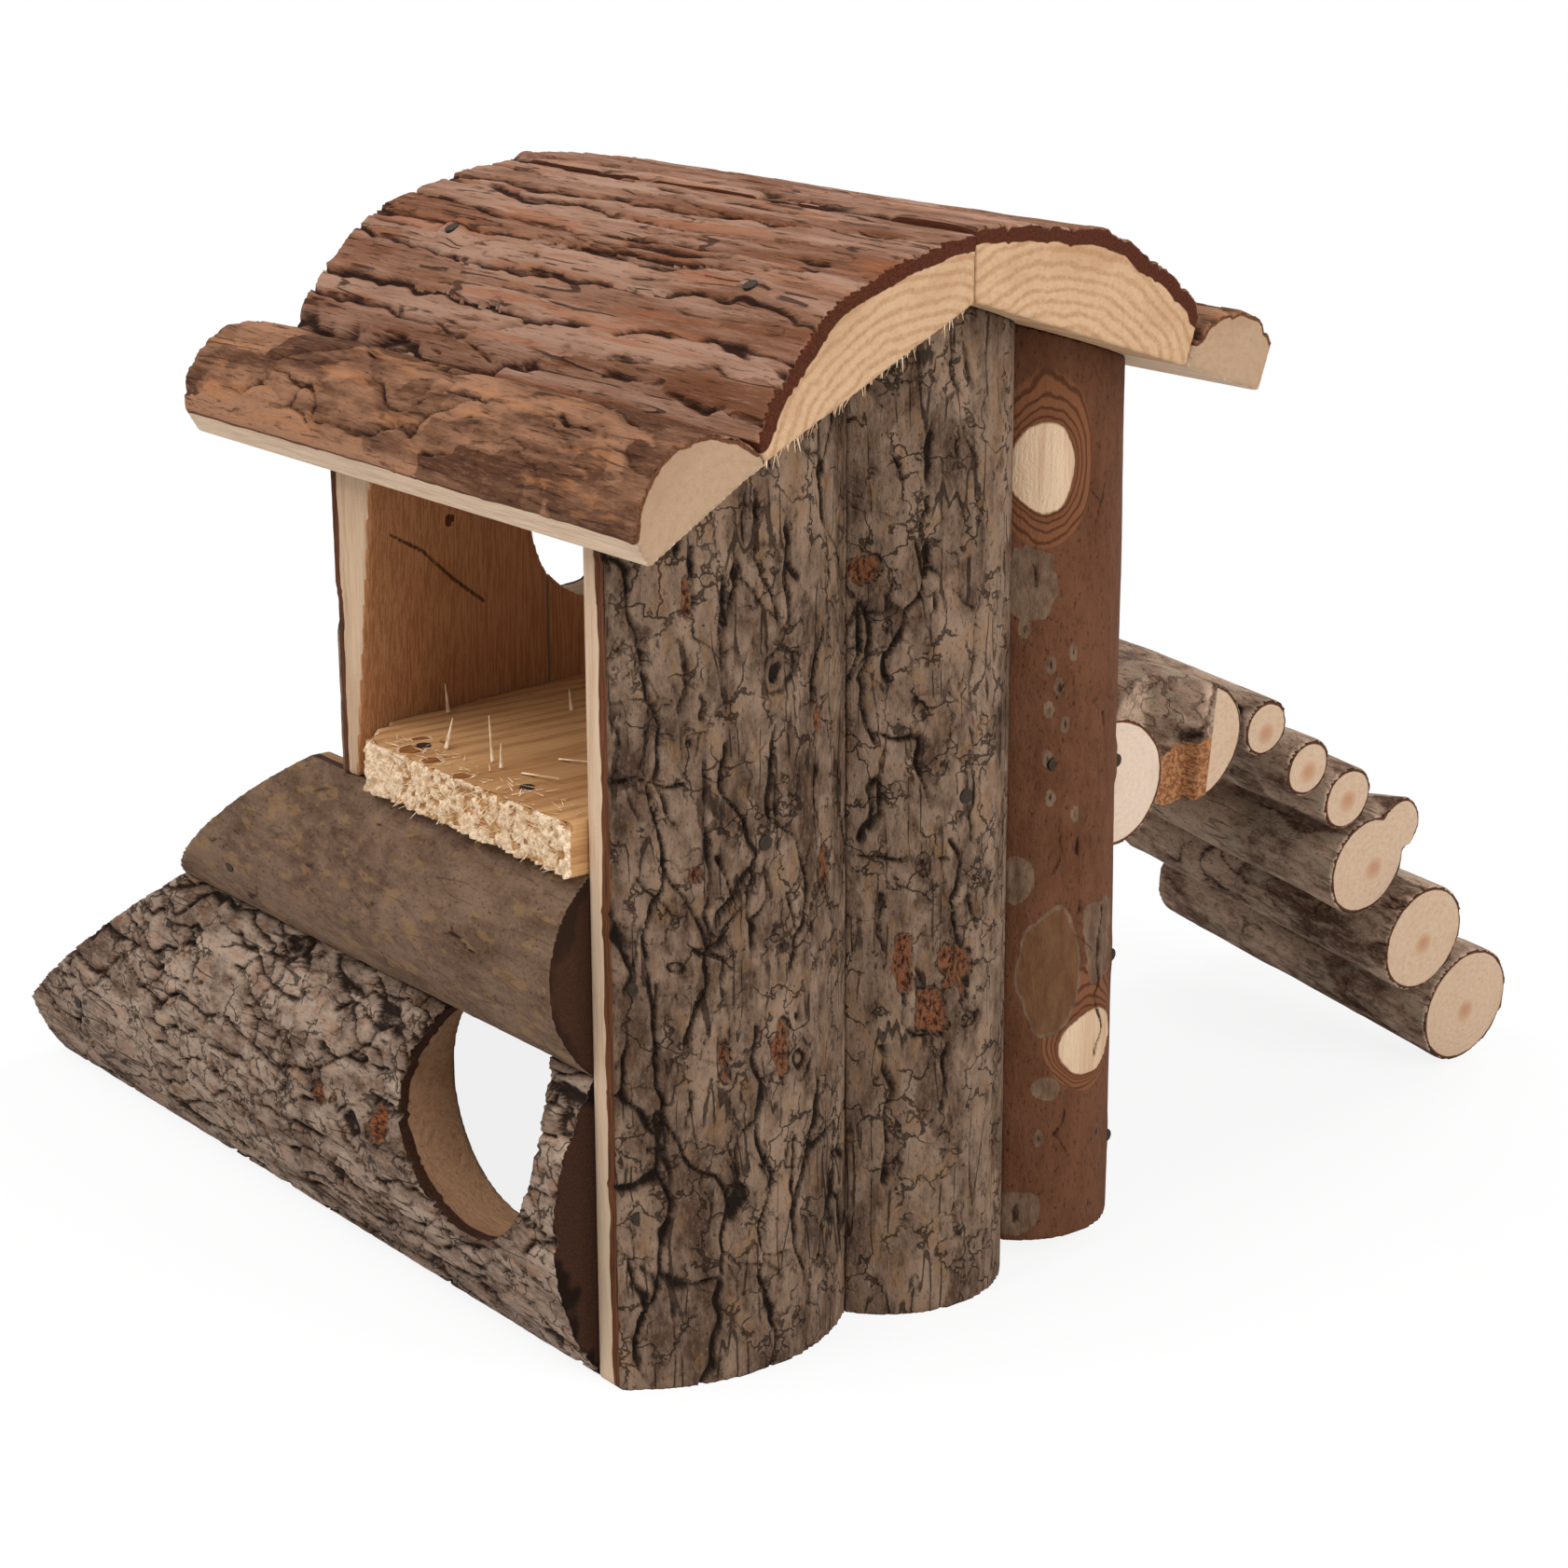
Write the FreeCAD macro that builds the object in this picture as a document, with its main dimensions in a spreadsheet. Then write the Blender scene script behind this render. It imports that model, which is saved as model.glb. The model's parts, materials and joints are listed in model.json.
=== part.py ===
"""Wooden hamster house, nailed together from half-log slabs with the bark left on.

Frame, in millimetres: the origin is on the ground, in the foot of the tall wall and under the
roof ridge. +X points out of the tall wall's bark side, +Y runs from the open front of the tower
to the bridge behind it, and +Z is up.

The ground room stands between a front and a rear wall whose far ends are sawn on one slope, and
a ramp of three slabs lies between them under that slope. The tower room stands on the plank
above it. A bridge of round branches, strung on two steel wires, climbs to it from the rear.
"""
import FreeCAD, Part
import os

import Sketcher

Vector = FreeCAD.Vector
doc = FreeCAD.newDocument("HamsterHouse")


# ---------------------------------------------------------------- driving dimensions

SIZES = (
    ("slab_gap", 0.3, "saw gap between two slabs that lie side by side"),
    ("cut_margin", 20.0, "how far a cutting shape runs past the wood"),
    # tall wall: three upright slabs, bark outwards
    ("tall_edge", 8.0, "thickness of a tall slab at its sawn edges"),
    ("tower_front", 70.0, "ridge line to the front edge of the tall wall"),
    ("tall_front_width", 56.8, ""),
    ("tall_front_crown", 18.5, "thickness at the middle of the bark side"),
    ("tall_middle_width", 41.9, ""),
    ("tall_middle_crown", 19.5, ""),
    ("tall_rear_width", 30.7, ""),
    ("tall_rear_foot", 4.5, "ground to the foot of the rear slab"),
    ("tall_rear_crown", 15.5, ""),
    # ground floor: front and rear wall, two lying slabs each
    ("ground_edge", 5.5, "thickness of a lying slab at its sawn edges"),
    ("front_lower_height", 63.5, ""),
    ("front_lower_crown", 16.0, ""),
    ("front_upper_height", 41.5, ""),
    ("front_upper_crown", 15.7, ""),
    ("rear_lower_height", 45.0, ""),
    ("rear_lower_crown", 12.0, ""),
    ("rear_upper_crown", 11.5, ""),
    ("rear_wall_depth", 54.5, "ridge line to the inner face of the rear wall"),
    ("annexe_length", 232.0, "tall wall's inner face to the far tip of the ground floor"),
    ("landing_length", 104.0, "tall wall's inner face to the top of the sloping end"),
    ("tip_height", 15.4, "ground to the lower end of the sawn slope, at the far tip"),
    ("entry_radius", 24.6, "round entry hole in the front wall"),
    ("entry_distance", 33.5, "tall wall's inner face to the hole's centre"),
    ("entry_height", 46.5, "ground to the hole's centre"),
    # ramp slabs between the two walls
    ("ramp_edge", 5.0, ""),
    ("ramp_crown", 13.5, ""),
    ("ramp_depth", 16.0, "the ramp's flat side below the sawn slope"),
    ("ramp_head_gap", 0.8, "from the ramp's upper edge to the far end of the sill log"),
    ("ramp_head_drop", 2.0, "the ramp's upper edge below the window wall's feet, at the least"),
    ("ramp_foot_gap", 0.8, "from the ramp's lower edge to the ground"),
    # tower floor
    ("plank_thickness", 11.0, ""),
    ("plank_front", 5.0, "how far the plank's torn end stands out at the front"),
    ("plank_corner_width", 8.0, "piece torn off the plank's front corner, across the plank"),
    ("plank_corner_length", 12.0, "the same along the plank"),
    # window wall: three upright slabs on the far side of the tower
    ("window_wall_distance", 83.5, "tall wall's inner face to the window wall's front foot"),
    ("window_front_width", 52.8, ""),
    ("window_front_turn", 6.2, "angle of the front slab's foot to the tall wall"),
    ("window_front_lean", 7.0, "its inner face leans into the tower at the front edge"),
    ("window_front_foot_edge", 5.2, "front edge at the foot"),
    ("window_front_head_edge", 18.9, "front edge at the height of the ridge"),
    ("window_front_crown", 17.0, ""),
    ("window_middle_width", 46.0, ""),
    ("window_middle_turn", 3.0, ""),
    ("window_middle_crown", 16.5, ""),
    ("window_rear_width", 30.6, ""),
    ("window_rear_crown", 15.5, ""),
    ("window_edge", 8.0, "thickness of a window-wall slab at its other edges"),
    ("window_radius", 21.0, ""),
    ("window_setback", 69.0, "tower's front edge to the window's centre"),
    ("window_height", 153.2, "ground to the window's centre"),
    # roof: four slabs along X
    ("ridge_height", 210.9, "ground to the roof's underside at the ridge"),
    ("roof_length", 155.0, "rear slabs"),
    ("roof_front_length", 163.5, "front slabs"),
    ("roof_front_skew", 7.0, "how much shorter the front slab is at the ridge"),
    ("roof_overhang", 30.0, "tall wall's inner face to the near gable end"),
    ("roof_furrow", 0.9, "depth of the furrows that run along the bark"),
    ("roof_front_slope", 25.8, ""),
    ("roof_front_width", 55.6, ""),
    ("roof_front_edge", 5.7, "thickness beside the eave slab"),
    ("roof_front_ridge", 12.4, "thickness at the ridge"),
    ("roof_front_crown", 18.7, ""),
    ("front_eave_slope", 31.0, ""),
    ("front_eave_width", 30.2, ""),
    ("front_eave_edge", 7.6, ""),
    ("front_eave_joint", 4.0, "thickness beside the roof slab"),
    ("front_eave_crown", 15.8, ""),
    ("roof_rear_slope", 18.2, ""),
    ("roof_rear_width", 58.6, ""),
    ("roof_rear_edge", 12.0, "thickness beside the eave slab"),
    ("roof_rear_ridge", 14.0, "thickness at the ridge"),
    ("roof_rear_crown", 21.2, ""),
    ("rear_eave_slope", 19.4, ""),
    ("rear_eave_width", 21.6, ""),
    ("rear_eave_edge", 11.0, ""),
    ("rear_eave_joint", 5.0, ""),
    ("rear_eave_crown", 14.8, ""),
    # bridge: round branches on two wires
    ("bridge_tilt", 6.0, "the branches' far ends lie higher"),
    ("bridge_setback", 8.0, "tall wall's inner face to the branches' near ends"),
    ("sill_radius", 14.7, "sill log that carries the bridge"),
    ("sill_drop", 7.5, "the plank's underside to the sill log's axis"),
    ("sill_setback", 67.3, "ridge line to the sill log's centre"),
    ("rod_gap", 1.2, "gap between two branches"),
    ("ground_clearance", 0.3, "gap between the last branch and the ground"),
    ("wire_radius", 0.9, ""),
    ("wire_clearance", 0.2, "from a wire's end to the line it bends about"),
    ("wire_inset", 20.0, "branch's near end to the first wire"),
    ("wire_spacing", 54.0, "distance between the two wires"),
    ("wire_anchor", 11.0, "depth of the wires' ends in the first and last log"),
    # The seven branches, from the tower down. A stand-out is how far the near end lies towards the
    # tall wall, and a fall share is the part of the bridge's whole drop between two branches.
    ("knotted_log_near_radius", 14.3, ""),
    ("knotted_log_far_radius", 10.5, ""),
    ("knotted_log_length", 97.0, ""),
    ("knotted_log_stand_out", 2.0, ""),
    ("knotted_log_fall_share", -0.025, ""),
    ("bridge_rod_top_near_radius", 7.3, ""),
    ("bridge_rod_top_far_radius", 5.2, ""),
    ("bridge_rod_top_length", 97.0, ""),
    ("bridge_rod_top_stand_out", 1.0, ""),
    ("bridge_rod_top_fall_share", 0.01, ""),
    ("bridge_rod_upper_near_radius", 7.1, ""),
    ("bridge_rod_upper_far_radius", 5.4, ""),
    ("bridge_rod_upper_length", 95.0, ""),
    ("bridge_rod_upper_stand_out", 4.6, ""),
    ("bridge_rod_upper_fall_share", 0.128, ""),
    ("bridge_rod_middle_near_radius", 8.3, ""),
    ("bridge_rod_middle_far_radius", 7.6, ""),
    ("bridge_rod_middle_length", 97.0, ""),
    ("bridge_rod_middle_stand_out", 5.7, ""),
    ("bridge_rod_middle_fall_share", 0.119, ""),
    ("forked_rod_near_radius", 12.9, ""),
    ("forked_rod_far_radius", 10.6, ""),
    ("forked_rod_length", 96.0, ""),
    ("forked_rod_stand_out", 4.6, ""),
    ("forked_rod_fall_share", 0.237, ""),
    ("bridge_rod_lower_near_radius", 13.6, ""),
    ("bridge_rod_lower_far_radius", 11.4, ""),
    ("bridge_rod_lower_length", 95.0, ""),
    ("bridge_rod_lower_stand_out", 9.5, ""),
    ("bridge_rod_lower_fall_share", 0.258, ""),
    ("bridge_rod_foot_near_radius", 15.0, ""),
    ("bridge_rod_foot_far_radius", 12.4, ""),
    ("bridge_rod_foot_length", 96.0, ""),
    ("bridge_rod_foot_stand_out", 9.1, ""),
    ("bridge_rod_foot_fall_share", 0.273, ""),
    ("fork_radius", 7.5, "side branch of the fork"),
    ("fork_offset", 13.0, "between the two branches of the fork, on its cut face"),
    ("fork_length", 50.0, "cut face to where the side branch is lost in the other one"),
    ("chip_depth", 13.0, "length of the piece broken out of the knotted log's near end"),
    ("stub_radius", 7.0, "torn side branch in the place of that piece"),
    ("stub_setback", 4.0, "the log's cut face to the end of the torn branch"),
    # nails
    ("nail_radius", 0.7, ""),
    ("nail_length", 30.0, ""),
    ("nail_head_radius", 1.5, ""),
    ("nail_head_thickness", 0.9, ""),
    ("nail_proud", 0.2, "how far a nail head stands out of the wood"),
)

# The branches of the bridge, from the tower down.
BRANCHES = ("knotted_log", "bridge_rod_top", "bridge_rod_upper", "bridge_rod_middle",
            "forked_rod", "bridge_rod_lower", "bridge_rod_foot")

dims = doc.addObject("Spreadsheet::Sheet", "Dims")
for row, (name, size, note) in enumerate(SIZES, start=1):
    dims.set(f"A{row}", name)
    dims.set(f"B{row}", str(size))
    dims.setAlias(f"B{row}", name)
    dims.set(f"C{row}", note)
doc.recompute()


# ---------------------------------------------------------------- derived places

layout = doc.addObject("App::VarSet", "Layout")


def derive(name, formula, kind="App::PropertyFloat"):
    """A named value that follows the sheet; returns how a formula refers to it."""
    layout.addProperty(kind, name)
    layout.setExpression(name, formula)
    return f"Layout.{name}"


INNER_FACE = derive("InnerFace", "-Dims.tall_edge / 2")
FRONT_EDGE = derive("FrontEdge", "-Dims.tower_front")
FRONT_INNER = derive("FrontInner", "Layout.FrontEdge + Dims.ground_edge")
GROUND_TOP = derive("GroundTop", "Dims.front_lower_height + Dims.front_upper_height")
PLANK_TOP = derive("PlankTop", "Layout.GroundTop + Dims.plank_thickness")
SILL_HEIGHT = derive("SillHeight", "Layout.GroundTop - Dims.sill_drop")
REAR_UPPER = derive(
    "RearUpperHeight", "Layout.SillHeight - Dims.sill_radius - Dims.rear_lower_height")
WALL_BLANK = derive("WallBlank", "Dims.ridge_height + Dims.cut_margin")

TALL_MIDDLE = derive("TallMiddle", "Layout.FrontEdge + Dims.tall_front_width + Dims.slab_gap")
TALL_REAR = derive("TallRear", "Layout.TallMiddle + Dims.tall_middle_width + Dims.slab_gap")

WINDOW_FRONT_X = derive("WindowFrontX", "Layout.InnerFace - Dims.window_wall_distance")
WINDOW_MIDDLE_X = derive(
    "WindowMiddleX", "Layout.WindowFrontX - Dims.window_front_width * sin(Dims.window_front_turn)")
WINDOW_MIDDLE_Y = derive(
    "WindowMiddleY",
    "Layout.FrontEdge + Dims.window_front_width * cos(Dims.window_front_turn) + 2 * Dims.slab_gap")
WINDOW_REAR_X = derive(
    "WindowRearX", "Layout.WindowMiddleX - Dims.window_middle_width * sin(Dims.window_middle_turn)")
WINDOW_REAR_Y = derive(
    "WindowRearY",
    "Layout.WindowMiddleY + Dims.window_middle_width * cos(Dims.window_middle_turn) + Dims.slab_gap")

# The slope of the ground walls' sawn ends, which the ramp keeps to.
RAMP_ANGLE = derive(
    "RampAngle",
    "atan((Layout.GroundTop - Dims.tip_height) / (Dims.annexe_length - Dims.landing_length))",
    "App::PropertyAngle")

# The roof's underside, from the front eave over the ridge to the rear eave.
FRONT_JOINT_Y = derive("FrontJointY", "-Dims.roof_front_width * cos(Dims.roof_front_slope)")
FRONT_JOINT_Z = derive(
    "FrontJointZ", "Dims.ridge_height - Dims.roof_front_width * sin(Dims.roof_front_slope)")
FRONT_EAVE_Y = derive(
    "FrontEaveY", "Layout.FrontJointY - Dims.front_eave_width * cos(Dims.front_eave_slope)")
FRONT_EAVE_Z = derive(
    "FrontEaveZ", "Layout.FrontJointZ - Dims.front_eave_width * sin(Dims.front_eave_slope)")
REAR_JOINT_Y = derive("RearJointY", "Dims.roof_rear_width * cos(Dims.roof_rear_slope)")
REAR_JOINT_Z = derive(
    "RearJointZ", "Dims.ridge_height - Dims.roof_rear_width * sin(Dims.roof_rear_slope)")
REAR_EAVE_Y = derive(
    "RearEaveY", "Layout.RearJointY + Dims.rear_eave_width * cos(Dims.rear_eave_slope)")
REAR_EAVE_Z = derive(
    "RearEaveZ", "Layout.RearJointZ - Dims.rear_eave_width * sin(Dims.rear_eave_slope)")
NEAR_GABLE = derive("NearGable", "Layout.InnerFace + Dims.roof_overhang")
doc.recompute()


# ---------------------------------------------------------------- sketch helpers

def value(formula):
    """The present number behind a formula."""
    return float(layout.evalExpression(formula))


def origin_plane(body, role):
    return next(feature for feature in body.Origin.OriginFeatures if feature.Role == role)


def add_sketch(body, name, role, offset=None):
    """An empty sketch on one of the body's own planes, moved off it by a formula."""
    sketch = body.newObject("Sketcher::SketchObject", name)
    sketch.AttachmentSupport = [(origin_plane(body, role), "")]
    sketch.MapMode = "FlatFace"
    if offset:
        sketch.setExpression("AttachmentOffset.Base.z", offset)
    return sketch


def pin_point(sketch, geometry, vertex, across, up):
    """Ties a vertex of the sketch to two formulas, measured from the sketch's origin."""
    for kind, formula in (("DistanceX", across), ("DistanceY", up)):
        constraint = Sketcher.Constraint(kind, -1, 1, geometry, vertex, value(formula))
        index = sketch.addConstraint(constraint)
        tag = f"{kind}{index}"
        sketch.renameConstraint(index, tag)
        if formula != "0":
            sketch.setExpression(f"Constraints.{tag}", formula)


def draw_outline(sketch, corners):
    """Closed outline, drawn counter-clockwise.

    A corner is (across, up), or (across, up, bow_across, bow_up) where the side that starts
    there is an arc through the bow point.
    """
    points = [Vector(value(corner[0]), value(corner[1]), 0) for corner in corners]
    count = len(corners)
    for number, corner in enumerate(corners):
        start = points[number]
        end = points[(number + 1) % count]
        if len(corner) == 2:
            sketch.addGeometry(Part.LineSegment(start, end))
        else:
            bow = Vector(value(corner[2]), value(corner[3]), 0)
            sketch.addGeometry(Part.Arc(start, bow, end))
    for number in range(count):
        sketch.addConstraint(
            Sketcher.Constraint("Coincident", number, 2, (number + 1) % count, 1))
    for number, corner in enumerate(corners):
        pin_point(sketch, number, 1, corner[0], corner[1])
        if len(corner) == 4:
            bow = Vector(value(corner[2]), value(corner[3]), 0)
            mark = sketch.addGeometry(Part.Point(bow), True)
            sketch.addConstraint(Sketcher.Constraint("PointOnObject", mark, 1, number))
            pin_point(sketch, mark, 1, corner[2], corner[3])


def draw_circle(sketch, across, up, radius):
    centre = Vector(value(across), value(up), 0)
    sketch.addGeometry(Part.Circle(centre, Vector(0, 0, 1), value(radius)))
    index = sketch.addConstraint(Sketcher.Constraint("Radius", 0, value(radius)))
    sketch.renameConstraint(index, "CircleRadius")
    sketch.setExpression("Constraints.CircleRadius", radius)
    pin_point(sketch, 0, 3, across, up)


def half_log(width, start_edge, end_edge, crown, facing):
    """Section of a slab sawn off a log: flat side on the axis, bark side bowed.

    facing is the way the bark points in the sketch: up, right or left.
    """
    middle = f"({width}) / 2"
    if facing == "up":
        return [("0", "0"), (width, "0"), (width, end_edge, middle, crown), ("0", start_edge)]
    if facing == "right":
        return [("0", "0"), (start_edge, "0", crown, middle), (end_edge, width), ("0", width)]
    return [("0", "0"), ("0", width), (f"-({end_edge})", width, f"-({crown})", middle),
            (f"-({start_edge})", "0")]


def add_body(name, placement):
    body = doc.addObject("PartDesign::Body", name)
    body.setExpression("Placement", placement)
    return body


def pad(body, sketch, length, backwards):
    feature = body.newObject("PartDesign::Pad", f"{body.Name}_pad")
    feature.Profile = sketch
    feature.setExpression("Length", length)
    feature.Reversed = backwards
    sketch.Visibility = False


def loft(body, sketches):
    feature = body.newObject("PartDesign::AdditiveLoft", f"{body.Name}_loft")
    feature.Profile = sketches[0]
    feature.Sections = sketches[1:]
    feature.Ruled = True


def cut_through(body, sketch):
    """Pocket through all of the body, both ways."""
    feature = body.newObject("PartDesign::Pocket", f"{sketch.Name}_cut")
    feature.Profile = sketch
    feature.Type = "ThroughAll"
    feature.Midplane = True


def at(x, y, z, axis="0; 0; 1", angle="0"):
    """Placement formula: a place and one turn."""
    return f"placement(vector({x}; {y}; {z}); rotation(vector({axis}); {angle}))"


# ---------------------------------------------------------------- tall wall and window wall

def wall_slab(name, x, y, z, turn, foot, head, height):
    """Upright slab between a foot section and a head section."""
    body = add_body(name, at(x, y, z, "0; 0; 1", turn))
    foot_sketch = add_sketch(body, f"{name}_foot", "XY_Plane")
    draw_outline(foot_sketch, foot)
    if head is None:
        pad(body, foot_sketch, height, False)
        return body
    head_sketch = add_sketch(body, f"{name}_head", "XY_Plane", height)
    draw_outline(head_sketch, head)
    loft(body, [foot_sketch, head_sketch])
    return body


def tall_section(place):
    return half_log(f"Dims.tall_{place}_width", "Dims.tall_edge", "Dims.tall_edge",
                    f"Dims.tall_{place}_crown", "right")


tall_front = wall_slab("tall_front_blank", INNER_FACE, FRONT_EDGE, "0", "0",
                       tall_section("front"), None, WALL_BLANK)
tall_middle = wall_slab("tall_middle_blank", INNER_FACE, TALL_MIDDLE, "0", "0",
                        tall_section("middle"), None, WALL_BLANK)
tall_rear = wall_slab("tall_rear_blank", INNER_FACE, TALL_REAR, "Dims.tall_rear_foot", "0",
                      tall_section("rear"), None, WALL_BLANK)

WINDOW_BLANK = derive("WindowBlank", "Layout.WallBlank - Layout.GroundTop")
doc.recompute()


def window_section(place, front_edge, lean="0"):
    """Section with its front corner moved into the tower by the lean."""
    corners = half_log(f"Dims.window_{place}_width", front_edge, "Dims.window_edge",
                       f"Dims.window_{place}_crown", "left")
    return [(lean, "0"), *corners[1:-1], (f"{lean} - {front_edge}", "0")]


# The front slab is twisted: its front edge leans, its other edge stands upright.
WINDOW_FRONT_BLANK = derive("WindowFrontBlank", "Dims.ridge_height - Layout.GroundTop")
WINDOW_LEAN = derive("WindowLean", "Layout.WindowFrontBlank * tan(Dims.window_front_lean)")
doc.recompute()
window_front = wall_slab("window_front_blank", WINDOW_FRONT_X, FRONT_EDGE, GROUND_TOP,
                         "Dims.window_front_turn",
                         window_section("front", "Dims.window_front_foot_edge"),
                         window_section("front", "Dims.window_front_head_edge", WINDOW_LEAN),
                         WINDOW_FRONT_BLANK)
window_middle = wall_slab("window_middle_blank", WINDOW_MIDDLE_X, WINDOW_MIDDLE_Y, GROUND_TOP,
                          "Dims.window_middle_turn",
                          window_section("middle", "Dims.window_edge"), None, WINDOW_BLANK)
window_rear = wall_slab("window_rear_blank", WINDOW_REAR_X, WINDOW_REAR_Y, GROUND_TOP, "0",
                        window_section("rear", "Dims.window_edge"), None, WINDOW_BLANK)


def cut_window(body, slab_y, turn):
    """Sawn round window; its centre is measured along the slab's own face."""
    sketch = add_sketch(body, f"{body.Name}_window", "YZ_Plane")
    along = f"(Layout.FrontEdge + Dims.window_setback - {slab_y}) / cos({turn})"
    draw_circle(sketch, along, f"Dims.window_height - {GROUND_TOP}", "Dims.window_radius")
    cut_through(body, sketch)


cut_window(window_front, FRONT_EDGE, "Dims.window_front_turn")
cut_window(window_middle, WINDOW_MIDDLE_Y, "Dims.window_middle_turn")


# ---------------------------------------------------------------- front and rear wall

def lying_slab(name, inner_y, foot_z, height, crown, facing):
    """Lying slab from the tall wall to the far tip, its far end sawn on the ramp's slope."""
    body = add_body(name, at(INNER_FACE, inner_y, foot_z))
    section = add_sketch(body, f"{name}_section", "YZ_Plane")
    draw_outline(section, half_log(height, "Dims.ground_edge", "Dims.ground_edge", crown, facing))
    pad(body, section, "Dims.annexe_length", True)

    # The triangle above the slope, in the plane of the wall.
    slope = add_sketch(body, f"{name}_slope", "XZ_Plane")
    top = f"({GROUND_TOP} - {foot_z} + Dims.cut_margin)"
    head_x = "-(Dims.landing_length - Dims.cut_margin / tan(Layout.RampAngle))"
    tip_x = "-(Dims.annexe_length + Dims.cut_margin)"
    tip_z = (f"({GROUND_TOP} - {foot_z} - (Dims.annexe_length + Dims.cut_margin"
             " - Dims.landing_length) * tan(Layout.RampAngle))")
    draw_outline(slope, [(head_x, top), (tip_x, top), (tip_x, tip_z)])
    cut_through(body, slope)
    return body


front_lower = lying_slab("front_lower_blank", FRONT_INNER, "0", "Dims.front_lower_height",
                         "Dims.front_lower_crown", "left")
front_upper = lying_slab("front_upper_blank", FRONT_INNER, "Dims.front_lower_height",
                         "Dims.front_upper_height", "Dims.front_upper_crown", "left")
rear_lower = lying_slab("rear_lower_blank", "Dims.rear_wall_depth", "0",
                        "Dims.rear_lower_height", "Dims.rear_lower_crown", "right")
rear_upper = lying_slab("rear_upper_blank", "Dims.rear_wall_depth", "Dims.rear_lower_height",
                        REAR_UPPER, "Dims.rear_upper_crown", "right")

entry = add_sketch(front_lower, "entry_hole", "XZ_Plane")
draw_circle(entry, "-Dims.entry_distance", "Dims.entry_height", "Dims.entry_radius")
cut_through(front_lower, entry)


# ---------------------------------------------------------------- ramp

RAMP_FRONT = derive("RampFront", "Layout.FrontInner + Dims.slab_gap")
RAMP_LENGTH = derive(
    "RampLength", "Dims.rear_wall_depth - Layout.FrontInner - 2 * Dims.slab_gap")
doc.recompute()


# The ramp's upper edge, which is its nearest point to the tower, clears the sill log and the feet
# of the window wall, and its lower edge the ground. All are distances from the top of the slope.
HEAD_BY_SILL = derive(
    "HeadBySill",
    "(Dims.landing_length + Layout.WindowRearX - Layout.InnerFace - Dims.ramp_head_gap"
    " - Dims.ramp_depth * sin(Layout.RampAngle)) / cos(Layout.RampAngle)")
HEAD_BY_FEET = derive(
    "HeadByFeet",
    "((Dims.ramp_depth - Dims.ramp_edge) * cos(Layout.RampAngle) - Dims.ramp_head_drop)"
    " / sin(Layout.RampAngle)")
RAMP_HEAD = derive("RampHead", f"min({HEAD_BY_SILL}; {HEAD_BY_FEET})")
RAMP_FOOT = derive(
    "RampFoot",
    "(Layout.GroundTop - Dims.ramp_depth * cos(Layout.RampAngle) - Dims.ramp_foot_gap)"
    " / sin(Layout.RampAngle)")
RAMP_WIDTH = derive("RampWidth", "(Layout.RampHead + Layout.RampFoot - 2 * Dims.slab_gap) / 3")
doc.recompute()


def slope_place(down, depth):
    """X and Z of a point on the ramp: distance down the sawn slope, and depth below it."""
    x = (f"({INNER_FACE} - Dims.landing_length - ({down}) * cos(Layout.RampAngle)"
         f" + ({depth}) * sin(Layout.RampAngle))")
    z = (f"({GROUND_TOP} - ({down}) * sin(Layout.RampAngle)"
         f" - ({depth}) * cos(Layout.RampAngle))")
    return x, z


def ramp_slab(name, number):
    """Ramp slab, bark up; number 1 is the highest."""
    foot = f"{number} * {RAMP_WIDTH} + ({number} - 1) * Dims.slab_gap - {RAMP_HEAD}"
    x, z = slope_place(foot, "Dims.ramp_depth")
    body = add_body(name, at(x, RAMP_FRONT, z, "0; 1; 0", "-Layout.RampAngle"))
    section = add_sketch(body, f"{name}_section", "XZ_Plane")
    draw_outline(section, half_log(RAMP_WIDTH, "Dims.ramp_edge", "Dims.ramp_edge",
                                   "Dims.ramp_crown", "up"))
    pad(body, section, RAMP_LENGTH, True)
    return body


ramp_upper = ramp_slab("ramp_upper_blank", 1)
ramp_middle = ramp_slab("ramp_middle_blank", 2)
ramp_lower = ramp_slab("ramp_lower_blank", 3)


# ---------------------------------------------------------------- tower floor

# The plank lies on the front wall and ends against the sill log. Its far side follows the
# window wall, whose front slab leans over it, and its front corner there is torn off.
PLANK_REAR = derive(
    "PlankRear",
    "Dims.sill_setback - Dims.slab_gap"
    " - sqrt(pow(Dims.sill_radius; 2) - pow(Layout.GroundTop - Layout.SillHeight; 2))")
doc.recompute()

plank = add_body("plank_blank", at(INNER_FACE, FRONT_EDGE, GROUND_TOP))
plank_outline = add_sketch(plank, "plank_outline", "XY_Plane")
plank_front_y = "-Dims.plank_front"
plank_side = "-" + derive(
    "PlankSide",
    "Dims.window_wall_distance - Dims.slab_gap - Dims.plank_thickness * tan(Dims.window_front_lean)")
doc.recompute()
plank_turn_x = f"({WINDOW_MIDDLE_X} - {INNER_FACE} + Dims.slab_gap)"
plank_turn_y = f"({WINDOW_MIDDLE_Y} - {FRONT_EDGE})"
plank_far_x = f"({WINDOW_REAR_X} - {INNER_FACE} + Dims.slab_gap)"
plank_far_y = f"({WINDOW_REAR_Y} - {FRONT_EDGE})"
plank_rear_y = f"({PLANK_REAR} - {FRONT_EDGE})"
corner_y = "(Dims.plank_corner_length - Dims.plank_front)"
corner_x = f"({plank_side} + ({plank_turn_x} - ({plank_side})) * {corner_y} / {plank_turn_y})"
draw_outline(plank_outline, [
    (f"{plank_side} + Dims.plank_corner_width", plank_front_y), ("-Dims.slab_gap", plank_front_y),
    ("-Dims.slab_gap", plank_rear_y), (plank_far_x, plank_rear_y), (plank_far_x, plank_far_y),
    (plank_turn_x, plank_turn_y), (corner_x, corner_y)])
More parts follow.
